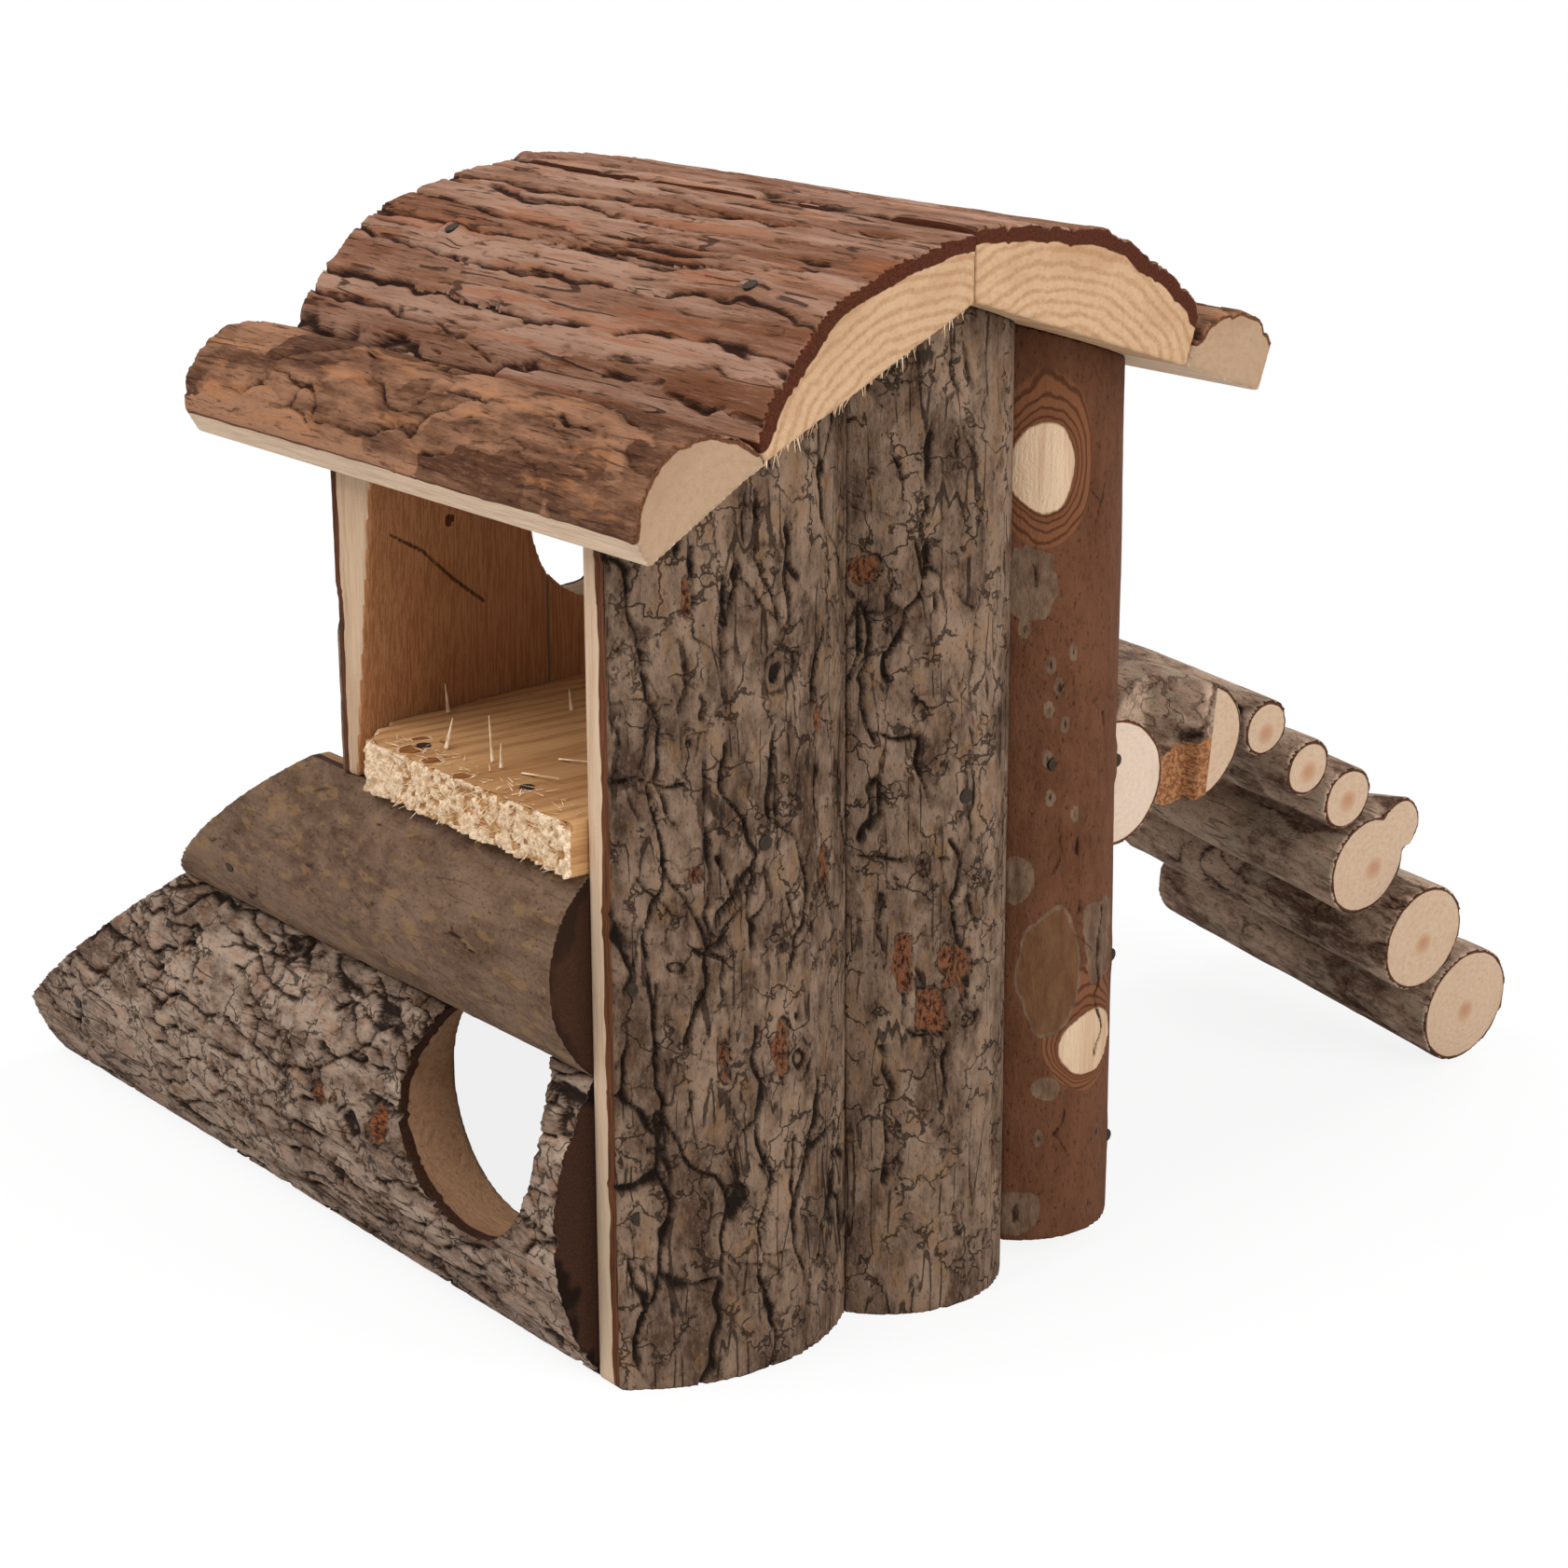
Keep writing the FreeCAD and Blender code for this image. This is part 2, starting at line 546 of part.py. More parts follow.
pad(plank, plank_outline, "Dims.plank_thickness", False)


# ---------------------------------------------------------------- roof

def roof_slab(name, y, z, slope, length, corners):
    """Roof slab along X, flat side down, turned to its slope about its front lower edge."""
    body = add_body(name, at(NEAR_GABLE, y, z, "1; 0; 0", slope))
    section = add_sketch(body, f"{name}_section", "YZ_Plane")
    draw_outline(section, corners)
    pad(body, section, length, True)
    return body


def roof_size(slab, part):
    return f"Dims.{slab}_{part}"


def arch(slab, share, start="edge", end="ridge"):
    """Thickness of a bowed roof slab at a share of its width, counted from its front edge."""
    parts = ((start, (1 - share) * (1 - 2 * share)), ("crown", 4 * share * (1 - share)),
             (end, share * (2 * share - 1)))
    return "(" + " + ".join(f"{factor:.4f} * {roof_size(slab, part)}"
                            for part, factor in parts) + ")"


def furrowed(slab, last_across, first_across, furrows, start="edge", end="ridge"):
    """Bark side of a roof slab, drawn from its rear edge to its front edge.

    Furrows along the slab, given by their shares of its width, part it into bowed strips.
    """
    shares = [1, *reversed(furrows), 0]
    corners = []
    for share, next_share in zip(shares, shares[1:]):
        middle = (share + next_share) / 2
        if share == 1:
            across, up = last_across, roof_size(slab, end)
        else:
            across = f"{roof_size(slab, 'width')} * {share}"
            up = f"{arch(slab, share, start, end)} - Dims.roof_furrow"
        corners.append((across, up, f"{roof_size(slab, 'width')} * {middle:.4f}",
                        arch(slab, middle, start, end)))
    return [*corners, (first_across, roof_size(slab, start))]


# At the ridge both slabs are mitred, so that their sawn edges meet upright.
front_mitre = "(Dims.roof_front_width + Dims.roof_front_ridge * tan(Dims.roof_front_slope))"
rear_mitre = "(-Dims.roof_rear_ridge * tan(Dims.roof_rear_slope))"

roof_front = roof_slab(
    "roof_front_blank", FRONT_JOINT_Y, FRONT_JOINT_Z, "Dims.roof_front_slope",
    "Dims.roof_front_length",
    [("Dims.slab_gap", "0"), ("Dims.roof_front_width - Dims.slab_gap", "0"),
     *furrowed("roof_front", f"{front_mitre} - Dims.slab_gap", "Dims.slab_gap", (0.3, 0.64))])
front_eave = roof_slab(
    "front_eave_blank", FRONT_EAVE_Y, FRONT_EAVE_Z, "Dims.front_eave_slope",
    "Dims.roof_front_length",
    [("0", "0"), ("Dims.front_eave_width", "0"),
     *furrowed("front_eave", "Dims.front_eave_width", "0", (), end="joint")])
roof_rear = roof_slab(
    "roof_rear_blank", "0", "Dims.ridge_height", "-Dims.roof_rear_slope", "Dims.roof_length",
    [("0", "0"), ("Dims.roof_rear_width - Dims.slab_gap", "0"),
     *furrowed("roof_rear", "Dims.roof_rear_width - Dims.slab_gap", rear_mitre, (0.34, 0.68),
               start="ridge", end="edge")])
rear_eave = roof_slab(
    "rear_eave_blank", REAR_JOINT_Y, REAR_JOINT_Z, "-Dims.rear_eave_slope", "Dims.roof_length",
    [("Dims.slab_gap", "0"), ("Dims.rear_eave_width", "0"),
     ("Dims.rear_eave_width", "Dims.rear_eave_edge",
      "Dims.rear_eave_width * 0.5", "Dims.rear_eave_crown"),
     ("Dims.slab_gap", "Dims.rear_eave_joint")])

# The far end of the front roof slab is sawn askew.
skew = add_sketch(roof_front, "roof_front_skew", "XY_Plane")
skew_far = "-(Dims.roof_front_length + Dims.cut_margin)"
skew_top = "(Dims.roof_front_width + Dims.cut_margin)"
skew_x = f"-(Dims.roof_front_length - Dims.roof_front_skew / Dims.roof_front_width * {skew_top})"
draw_outline(skew, [("-Dims.roof_front_length", "0"), (skew_x, skew_top), (skew_far, skew_top),
                    (skew_far, "0")])
cut_through(roof_front, skew)

# The space above the roof's underside, which the upright slabs are sawn off against.
roof_space = add_body("roof_space", at("0", "0", "0"))
underside = add_sketch(roof_space, "roof_underside", "YZ_Plane")
space_top = f"({WALL_BLANK} + Dims.cut_margin)"
front_out_y = f"({FRONT_EAVE_Y} - Dims.cut_margin)"
front_out_z = f"({FRONT_EAVE_Z} - Dims.cut_margin * tan(Dims.front_eave_slope))"
rear_out_y = f"({REAR_EAVE_Y} + Dims.cut_margin)"
rear_out_z = f"({REAR_EAVE_Z} - Dims.cut_margin * tan(Dims.rear_eave_slope))"
draw_outline(underside, [
    (front_out_y, front_out_z), (FRONT_JOINT_Y, FRONT_JOINT_Z), ("0", "Dims.ridge_height"),
    (REAR_JOINT_Y, REAR_JOINT_Z), (rear_out_y, rear_out_z), (rear_out_y, space_top),
    (front_out_y, space_top)])
space_pad = roof_space.newObject("PartDesign::Pad", "roof_space_pad")
space_pad.Profile = underside
space_pad.setExpression("Length", "3 * Dims.roof_front_length")
space_pad.Midplane = True


# ---------------------------------------------------------------- nails

def nail(name, placement):
    """Shank and flat head; the nail points along its own +Z, from its head's outer face on."""
    shank = doc.addObject("Part::Cylinder", f"{name}_shank")
    shank.setExpression("Radius", "Dims.nail_radius")
    shank.setExpression("Height", "Dims.nail_length")
    shank.setExpression("Placement", placement)
    head = doc.addObject("Part::Cylinder", f"{name}_head")
    head.setExpression("Radius", "Dims.nail_head_radius")
    head.setExpression("Height", "Dims.nail_head_thickness")
    head.setExpression("Placement", placement)
    return [shank, head]


def nail_group(label, placements):
    """All nails of one wall as one node of separate solids."""
    pieces = []
    for number, placement in enumerate(placements, start=1):
        pieces += nail(f"{label}_{number}", placement)
    group = doc.addObject("Part::MultiFuse", label)
    group.Shapes = pieces
    return group


def bow(along, width, edge, crown):
    """Thickness of a half-log slab at a distance along its width."""
    return f"({edge} + ({crown} - {edge}) * 4 * ({along}) * ({width} - ({along})) / pow({width}; 2))"


def tall_nail(y, z, slab_y, place):
    """Nail driven through a slab of the tall wall, along -X."""
    surface = bow(f"{y} - {slab_y}", f"Dims.tall_{place}_width", "Dims.tall_edge",
                  f"Dims.tall_{place}_crown")
    return at(f"{INNER_FACE} + {surface} + Dims.nail_proud", y, z, "0; 1; 0", "-90")


PLANK_MIDDLE = derive("PlankMiddle", "Layout.GroundTop + Dims.plank_thickness / 2")
FRONT_NAIL_Y = derive("FrontNailY", "Layout.FrontEdge + Dims.ground_edge * 0.6")
REAR_NAIL_Y = derive("RearNailY", "Dims.rear_wall_depth + Dims.ground_edge * 0.4")
SILL_NAIL_Y = derive("SillNailY", "Dims.sill_setback - Dims.sill_radius * 0.65")
SILL_NAIL_Z = derive("SillNailZ", "Layout.SillHeight + Dims.sill_radius * 0.62")
doc.recompute()

tall_nails = nail_group("tall_wall_nails", [
    tall_nail(FRONT_NAIL_Y, "Dims.front_lower_height * 0.58", FRONT_EDGE, "front"),
    tall_nail(FRONT_NAIL_Y, "Dims.front_lower_height + Dims.front_upper_height * 0.5",
              FRONT_EDGE, "front"),
    tall_nail(f"({FRONT_EDGE} + Dims.tall_front_width / 2)", PLANK_MIDDLE, FRONT_EDGE, "front"),
    tall_nail(f"({TALL_MIDDLE} + Dims.tall_middle_width / 2)", PLANK_MIDDLE, TALL_MIDDLE,
              "middle"),
    tall_nail(f"({TALL_REAR} + Dims.tall_rear_width / 4)", PLANK_MIDDLE, TALL_REAR, "rear"),
    tall_nail(REAR_NAIL_Y, "Dims.rear_lower_height / 2", TALL_REAR, "rear"),
    tall_nail(REAR_NAIL_Y, f"Dims.rear_lower_height + {REAR_UPPER} / 2", TALL_REAR,
              "rear"),
    tall_nail(SILL_NAIL_Y, SILL_NAIL_Z, TALL_REAR, "rear"),
])


def window_nail(slab, along, z, place, front_edge):
    """Nail driven through a slab of the window wall, square to its face."""
    surface = bow(along, f"Dims.window_{place}_width", front_edge, f"Dims.window_{place}_crown")
    local = at(f"-{surface} - Dims.nail_proud", along, f"{z} - {GROUND_TOP}", "0; 1; 0", "90")
    return f"{slab.Name}.Placement * {local}"


window_nails = nail_group("window_wall_nails", [
    window_nail(window_front, "Dims.window_front_width / 2", PLANK_MIDDLE, "front",
                "Dims.window_edge"),
    window_nail(window_middle, "Dims.window_middle_width / 2", PLANK_MIDDLE, "middle",
                "Dims.window_edge"),
    window_nail(window_rear, "Dims.window_rear_width / 4", PLANK_MIDDLE, "rear",
                "Dims.window_edge"),
    window_nail(window_rear, f"({SILL_NAIL_Y} - {WINDOW_REAR_Y})", SILL_NAIL_Z, "rear",
                "Dims.window_edge"),
])


def ramp_nail(down, wall_y, side, foot_z, height, crown, angle):
    """Nail driven through a lying slab into a ramp slab's end."""
    x, z = slope_place(down, "Dims.ramp_depth * 0.7")
    surface = bow(f"{z} - {foot_z}", height, "Dims.ground_edge", crown)
    return at(x, f"{wall_y} {side} ({surface} + Dims.nail_proud)", z, "1; 0; 0", angle)


def front_ramp_nail(down, foot_z, part):
    return ramp_nail(down, FRONT_INNER, "-", foot_z, f"Dims.front_{part}_height",
                     f"Dims.front_{part}_crown", "-90")


def rear_ramp_nail(down, foot_z, part):
    height = REAR_UPPER if part == "upper" else "Dims.rear_lower_height"
    return ramp_nail(down, "Dims.rear_wall_depth", "+", foot_z, height,
                     f"Dims.rear_{part}_crown", "90")


RAMP_PITCH = f"({RAMP_WIDTH} + Dims.slab_gap)"
front_nails = nail_group("front_wall_nails", [
    front_ramp_nail(f"{RAMP_PITCH} * 0.6", "Dims.front_lower_height", "upper"),
    front_ramp_nail(f"{RAMP_PITCH} * 1.4", "0", "lower"),
    front_ramp_nail(f"{RAMP_PITCH} * 2.35", "0", "lower"),
])
rear_nails = nail_group("rear_wall_nails", [
    rear_ramp_nail(f"{RAMP_PITCH} * 0.7", "Dims.rear_lower_height", "upper"),
    rear_ramp_nail(f"{RAMP_PITCH} * 1.4", "Dims.rear_lower_height", "upper"),
    rear_ramp_nail(f"{RAMP_PITCH} * 2.35", "0", "lower"),
])

floor_nails = nail_group("floor_nails", [
    at(f"{INNER_FACE} - Dims.window_wall_distance * {share}", FRONT_NAIL_Y,
       f"{PLANK_TOP} + Dims.nail_proud", "1; 0; 0", "180")
    for share in (0.3, 0.75)
])


def roof_nail(slab, along, thickness, wall_x):
    """Nail driven square through a roof slab into the top of a wall."""
    local = at(f"-({NEAR_GABLE} - ({wall_x}))", along, f"{thickness} + Dims.nail_proud",
               "1; 0; 0", "180")
    return f"{slab.Name}.Placement * {local}"


NEAR_NAIL_X = derive("NearNailX", "Layout.InnerFace + Dims.tall_edge * 0.7")
FAR_NAIL_FRONT_X = derive("FarNailFrontX", "Layout.WindowFrontX")
FAR_NAIL_REAR_X = derive("FarNailRearX", "Layout.WindowRearX - Dims.window_edge * 0.6")
doc.recompute()

roof_places = []
for wall_x in (NEAR_NAIL_X, FAR_NAIL_FRONT_X):
    roof_places.append(roof_nail(front_eave, "Dims.front_eave_width * 0.71",
                                 arch("front_eave", 0.71, end="joint"), wall_x))
for wall_x in (NEAR_NAIL_X, FAR_NAIL_REAR_X):
    roof_places.append(roof_nail(roof_front, "Dims.roof_front_width * 0.47",
                                 arch("roof_front", 0.47), wall_x))
    roof_places.append(roof_nail(roof_rear, "Dims.roof_rear_width * 0.84",
                                 arch("roof_rear", 0.84, "ridge", "edge"), wall_x))
    roof_places.append(roof_nail(rear_eave, "Dims.rear_eave_width * 0.12",
                                 "Dims.rear_eave_crown * 0.68", wall_x))
roof_nails = nail_group("roof_nails", roof_places)

all_nails = doc.addObject("Part::Compound", "all_nails")
all_nails.Links = [tall_nails, window_nails, front_nails, rear_nails, floor_nails, roof_nails]


# ---------------------------------------------------------------- bridge

# Every branch lies along its own X in one tilted frame, whose origin is the sill log's axis.
bridge_frame = doc.addObject("Part::Vertex", "BridgeFrame")
bridge_frame.setExpression(
    "Placement",
    at(f"{INNER_FACE} - Dims.bridge_setback", "Dims.sill_setback", SILL_HEIGHT, "0; 1; 0",
       "Dims.bridge_tilt"))

# Places of the branches' centres in that frame: each gap takes its share of the whole drop, which
# ends with the last branch's near end just off the ground.
DROP = derive(
    "Drop",
    "(Layout.SillHeight - Dims.ground_clearance"
    " - Dims.bridge_rod_foot_stand_out * sin(Dims.bridge_tilt)) / cos(Dims.bridge_tilt)"
    " - Dims.bridge_rod_foot_near_radius")
along = derive("Along0", "0")
up = derive("Up0", "0")
radius = "Dims.sill_radius"
stations = []
bend_lines = []
for number, name in enumerate(BRANCHES, start=1):
    next_radius = f"Dims.{name}_near_radius"
    link = derive(f"Link{number}", f"{radius} + {next_radius} + Dims.rod_gap")
    fall = derive(f"Fall{number}", f"{DROP} * Dims.{name}_fall_share")
    run = derive(f"Run{number}", f"sqrt(pow({link}; 2) - pow({fall}; 2))")
    share = derive(f"Share{number}", f"({radius} + Dims.rod_gap / 2) / {link}")
    bend_lines.append((derive(f"BendAlong{number}", f"{along} + {run} * {share}"),
                       derive(f"BendUp{number}", f"{up} - {fall} * {share}")))
    along = derive(f"Along{number}", f"{along} + {run}")
    up = derive(f"Up{number}", f"{up} - {fall}")
    stations.append((along, up))
    radius = next_radius
doc.recompute()


def add_cone(body, name, near_radius, far_radius, length, placement):
    """Tapering round piece; its placement is that of a point on the bridge, near end first."""
    cone = body.newObject("PartDesign::AdditiveCone", name)
    cone.setExpression("Radius1", near_radius)
    cone.setExpression("Radius2", far_radius)
    cone.setExpression("Height", length)
    cone.setExpression("Placement", placement)


def branch_body(name, along, up):
    """Slightly tapering round branch."""
    body = add_body(f"{name}_blank", "BridgeFrame.Placement")
    add_cone(body, f"{name}_wood", f"Dims.{name}_near_radius", f"Dims.{name}_far_radius",
             f"Dims.{name}_length",
             at(f"Dims.{name}_stand_out", along, up, "0; 1; 0", "-90"))
    return body


def sheared_end(body, along, left, right, cut_x):
    """Cuts off all that stands out beyond cut_x, between two sides of the branch's axis."""
    sketch = add_sketch(body, f"{body.Name}_end", "XY_Plane")
    beyond = f"{cut_x} + Dims.cut_margin"
    draw_outline(sketch, [
        (cut_x, f"{along} - {left}"), (beyond, f"{along} - {left}"),
        (beyond, f"{along} + {right}"), (cut_x, f"{along} + {right}")])
    cut_through(body, sketch)


def wire_pair(label, start, end, start_gap, end_gap):
    """Two straight wires, from one point of the bridge's side view to another."""
    run = f"({end[0]} - ({start[0]}))"
    rise = f"({end[1]} - ({start[1]}))"
    reach = f"sqrt(pow({run}; 2) + pow({rise}; 2))"
    pieces = []
    for place, inset in (("near", "Dims.wire_inset"), ("far", "Dims.wire_inset + Dims.wire_spacing")):
        wire = doc.addObject("Part::Cylinder", f"{label}_{place}")
        wire.setExpression("Radius", "Dims.wire_radius")
        wire.setExpression("Height", f"{reach} - {start_gap} - {end_gap}")
        y = f"{start[0]} + {run} / {reach} * {start_gap}"
        z = f"{start[1]} + {rise} / {reach} * {start_gap}"
        turn = f"-atan2({run}; {rise})"
        wire.setExpression("Placement", "BridgeFrame.Placement * "
                           + at(f"-({inset})", y, z, "1; 0; 0", turn))
        pieces.append(wire)
    pair = doc.addObject("Part::Compound", label)
    pair.Links = pieces
    return pair


sill = add_body("sill_blank", at(f"{INNER_FACE} - Dims.slab_gap", "Dims.sill_setback",
                                 SILL_HEIGHT))
sill_end = add_sketch(sill, "sill_end", "YZ_Plane")
draw_circle(sill_end, "0", "0", "Dims.sill_radius")
pad(sill, sill_end, f"{INNER_FACE} - {WINDOW_REAR_X} - 2 * Dims.slab_gap", True)

branches = {}
for name, (along, up) in zip(BRANCHES, stations):
    branches[name] = branch_body(name, along, up)

# The forked rod's near end is cut across a fork: a side branch comes out of it, up and away from
# the tower, and both end on one face.
fork_along, fork_up = stations[BRANCHES.index("forked_rod")]
fork_end = "Dims.forked_rod_stand_out"
fork_lean = "atan(Dims.fork_offset / Dims.fork_length)"
add_cone(branches["forked_rod"], "fork_side_branch", "Dims.fork_radius", "Dims.fork_radius * 0.7",
         "Dims.fork_length",
         f"placement(vector({fork_end} + 1; {fork_along}; {fork_up});"
         f" rotation(vector(1; 0; 0); -50) * rotation(vector(0; 1; 0); -90))"
         f" * placement(vector(Dims.fork_offset; 0; 0); rotation(vector(0; 1; 0); -{fork_lean}))")
sheared_end(branches["forked_rod"], fork_along, "Dims.cut_margin", "Dims.cut_margin * 2", fork_end)

# A piece is broken out of the knotted log's near end, and the torn stub of a side branch stands
# in its place.
knotted = branches["knotted_log"]
knot_along, knot_up = stations[0]
log_radius = "Dims.knotted_log_near_radius"
log_end = "Dims.knotted_log_stand_out"
chip = add_sketch(knotted, "knotted_log_chip", "XY_Plane")
chip_left = f"{knot_along} - {log_radius} - Dims.cut_margin"
draw_outline(chip, [
    (f"{log_end} - Dims.chip_depth", chip_left), (f"{log_end} + Dims.cut_margin", chip_left),
    (f"{log_end} + Dims.cut_margin", f"{knot_along} + {log_radius} * 0.1"),
    (log_end, f"{knot_along} + {log_radius} * 0.1"),
    (f"{log_end} - Dims.chip_depth", f"{knot_along} - {log_radius} * 0.3")])
cut_through(knotted, chip)
stub = add_sketch(knotted, "knotted_log_stub", "YZ_Plane", f"{log_end} - Dims.stub_setback")
draw_circle(stub, f"{knot_along} - {log_radius} * 0.2", f"{knot_up} - {log_radius} * 0.62",
            "Dims.stub_radius")
pad(knotted, stub, "Dims.chip_depth * 2", True)

# One pair of wire lengths for each log, from bend line to bend line.
clearance = "Dims.wire_clearance"
first_bend = bend_lines[0]
anchor_start = (f"{first_bend[0]} - Dims.wire_anchor", first_bend[1])
wires = {"sill_log": wire_pair("sill_wires", anchor_start, first_bend, "0", clearance)}
for number, name in enumerate(BRANCHES):
    start = bend_lines[number]
    if number + 1 < len(BRANCHES):
        wires[name] = wire_pair(f"{name}_wires", start, bend_lines[number + 1],
                                clearance, clearance)
    else:
        wires[name] = wire_pair(f"{name}_wires", start, stations[number],
                                clearance, f"-{clearance}")


# ---------------------------------------------------------------- finished sub-parts

def cut(name, base, tool):
    piece = doc.addObject("Part::Cut", name)
    piece.Base = base
    piece.Tool = tool
    return piece


def sawn_under_roof(body):
    return cut(f"{body.Name}_sawn", body, roof_space)


SUB_PARTS = {
    "tall_wall_front_slab": cut("tall_wall_front_slab", sawn_under_roof(tall_front), all_nails),
    "tall_wall_middle_slab": cut("tall_wall_middle_slab", sawn_under_roof(tall_middle), all_nails),
    "tall_wall_rear_slab": cut("tall_wall_rear_slab", sawn_under_roof(tall_rear), all_nails),
    "window_wall_front_slab": cut("window_wall_front_slab", sawn_under_roof(window_front),
                                  all_nails),
    "window_wall_middle_slab": cut("window_wall_middle_slab", sawn_under_roof(window_middle),
                                   all_nails),
    "window_wall_rear_slab": cut("window_wall_rear_slab", sawn_under_roof(window_rear),
                                 all_nails),
    "front_wall_lower_slab": cut("front_wall_lower_slab", front_lower, all_nails),
    "front_wall_upper_slab": cut("front_wall_upper_slab", front_upper, all_nails),
    "rear_wall_lower_slab": cut("rear_wall_lower_slab", rear_lower, all_nails),
    "rear_wall_upper_slab": cut("rear_wall_upper_slab", rear_upper, all_nails),
    "ramp_upper_slab": cut("ramp_upper_slab", ramp_upper, all_nails),
    "ramp_middle_slab": cut("ramp_middle_slab", ramp_middle, all_nails),
    "ramp_lower_slab": cut("ramp_lower_slab", ramp_lower, all_nails),
    "tower_floor_plank": cut("tower_floor_plank", plank, all_nails),
    "roof_front_slab": cut("roof_front_slab", roof_front, all_nails),
    "roof_rear_slab": cut("roof_rear_slab", roof_rear, all_nails),
    "front_eave_slab": cut("front_eave_slab", front_eave, all_nails),
    "rear_eave_slab": cut("rear_eave_slab", rear_eave, all_nails),
    "tall_wall_nails": tall_nails,
    "window_wall_nails": window_nails,
    "front_wall_nails": front_nails,
    "rear_wall_nails": rear_nails,
    "floor_nails": floor_nails,
    "roof_nails": roof_nails,
    "sill_log": cut("sill_log", cut("sill_nailed", sill, all_nails), wires["sill_log"]),
    "sill_wires": wires["sill_log"],
}
for name, body in branches.items():
    SUB_PARTS[name] = cut(name, body, wires[name])
    SUB_PARTS[f"{name}_wires"] = wires[name]

for node, piece in SUB_PARTS.items():
    piece.Label = node
doc.recompute()

# ---------------------------------------------------------------- checks and files

faults = []
for item in doc.Objects:
    if "Invalid" in item.State or "Error" in item.State:
        faults.append(f"{item.Label}: {item.State}")
for node, piece in SUB_PARTS.items():
    if piece.Shape.isNull() or not piece.Shape.isValid() or not piece.Shape.Solids:
        faults.append(f"{node}: bad shape")
if faults:
    raise RuntimeError("; ".join(faults))

for number, (bend_along, bend_up) in enumerate(bend_lines, start=1):
    place = bridge_frame.Placement.multVec(Vector(0, value(bend_along), value(bend_up)))
    print(f"bend line {number}: {place.x:.3f} {place.y:.3f} {place.z:.3f}")
bend_axis = bridge_frame.Placement.Rotation.multVec(Vector(1, 0, 0))
print(f"bend axis: {bend_axis.x:.5f} {bend_axis.y:.5f} {bend_axis.z:.5f}")

os.makedirs("parts", exist_ok=True)
for node, piece in SUB_PARTS.items():
    piece.Shape.exportStep(f"parts/{node}.step")
print(f"{len(SUB_PARTS)} sub-parts written")
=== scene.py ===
"""Looks of a wooden hamster house: half-log slabs with the bark left on, a torn floor plank and
a bridge of round branches. Places are in metres in the CAD frame, carving in millimetres."""
import json
import math
from itertools import product
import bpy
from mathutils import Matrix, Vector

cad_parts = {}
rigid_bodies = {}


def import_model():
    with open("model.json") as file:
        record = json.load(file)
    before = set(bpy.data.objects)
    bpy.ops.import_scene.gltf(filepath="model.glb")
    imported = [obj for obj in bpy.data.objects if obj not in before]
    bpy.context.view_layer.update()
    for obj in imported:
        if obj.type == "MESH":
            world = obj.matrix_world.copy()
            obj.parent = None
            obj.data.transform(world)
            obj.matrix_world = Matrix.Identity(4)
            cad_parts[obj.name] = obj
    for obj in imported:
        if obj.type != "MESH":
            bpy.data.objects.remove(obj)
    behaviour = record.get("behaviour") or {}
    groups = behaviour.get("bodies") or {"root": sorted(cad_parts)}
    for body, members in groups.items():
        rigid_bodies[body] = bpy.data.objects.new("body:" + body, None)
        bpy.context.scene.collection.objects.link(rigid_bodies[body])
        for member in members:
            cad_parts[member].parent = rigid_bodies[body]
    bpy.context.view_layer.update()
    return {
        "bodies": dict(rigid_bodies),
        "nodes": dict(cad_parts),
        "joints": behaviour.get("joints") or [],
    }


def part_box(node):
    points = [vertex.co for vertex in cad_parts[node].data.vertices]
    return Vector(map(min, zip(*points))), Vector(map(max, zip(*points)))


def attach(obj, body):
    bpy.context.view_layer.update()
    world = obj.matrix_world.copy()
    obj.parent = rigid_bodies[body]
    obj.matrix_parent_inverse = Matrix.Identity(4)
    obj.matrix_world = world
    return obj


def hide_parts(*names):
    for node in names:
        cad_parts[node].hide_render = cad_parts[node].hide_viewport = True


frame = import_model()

from types import SimpleNamespace

import bpy
import numpy as np
from mathutils import Matrix, Vector
from mathutils.bvhtree import BVHTree
from mathutils.kdtree import KDTree

MM = 0.001


# ---------------------------------------------------------------- camera
# A long lens a little above the roof, looking at the tall wall and at the open front together.

CAMERA_PLACE = Vector((0.5119, -0.4257, 0.3119))
CAMERA_AZIMUTH = math.radians(52.0)
CAMERA_DROP = math.radians(16.8)
CAMERA_ROLL = math.radians(-0.2)
LENS_LENGTH = 79.51
SENSOR_WIDTH = 36.0

forward = Vector((-math.sin(CAMERA_AZIMUTH) * math.cos(CAMERA_DROP),
                  math.cos(CAMERA_AZIMUTH) * math.cos(CAMERA_DROP), -math.sin(CAMERA_DROP)))
level_right = Vector((math.cos(CAMERA_AZIMUTH), math.sin(CAMERA_AZIMUTH), 0))
level_up = level_right.cross(forward)
right = math.cos(CAMERA_ROLL) * level_right + math.sin(CAMERA_ROLL) * level_up
upward = math.cos(CAMERA_ROLL) * level_up - math.sin(CAMERA_ROLL) * level_right

bpy.ops.object.select_all(action="DESELECT")
bpy.ops.object.camera_add()
camera = bpy.context.object
camera.name = "studio_camera"
turn = Matrix((right, upward, -forward)).transposed().to_4x4()
camera.matrix_world = Matrix.Translation(CAMERA_PLACE) @ turn
camera.data.lens = LENS_LENGTH
camera.data.sensor_width = SENSOR_WIDTH
camera.data.clip_start = 0.01
bpy.context.scene.camera = camera
bpy.context.scene.view_settings.view_transform = "Standard"


# ---------------------------------------------------------------- studio light
# Large soft lamps: the key from above and a little to the left, a wide fill from the right and a
# weak one from behind. The grey sky lifts the shadows and shows as white to the camera.

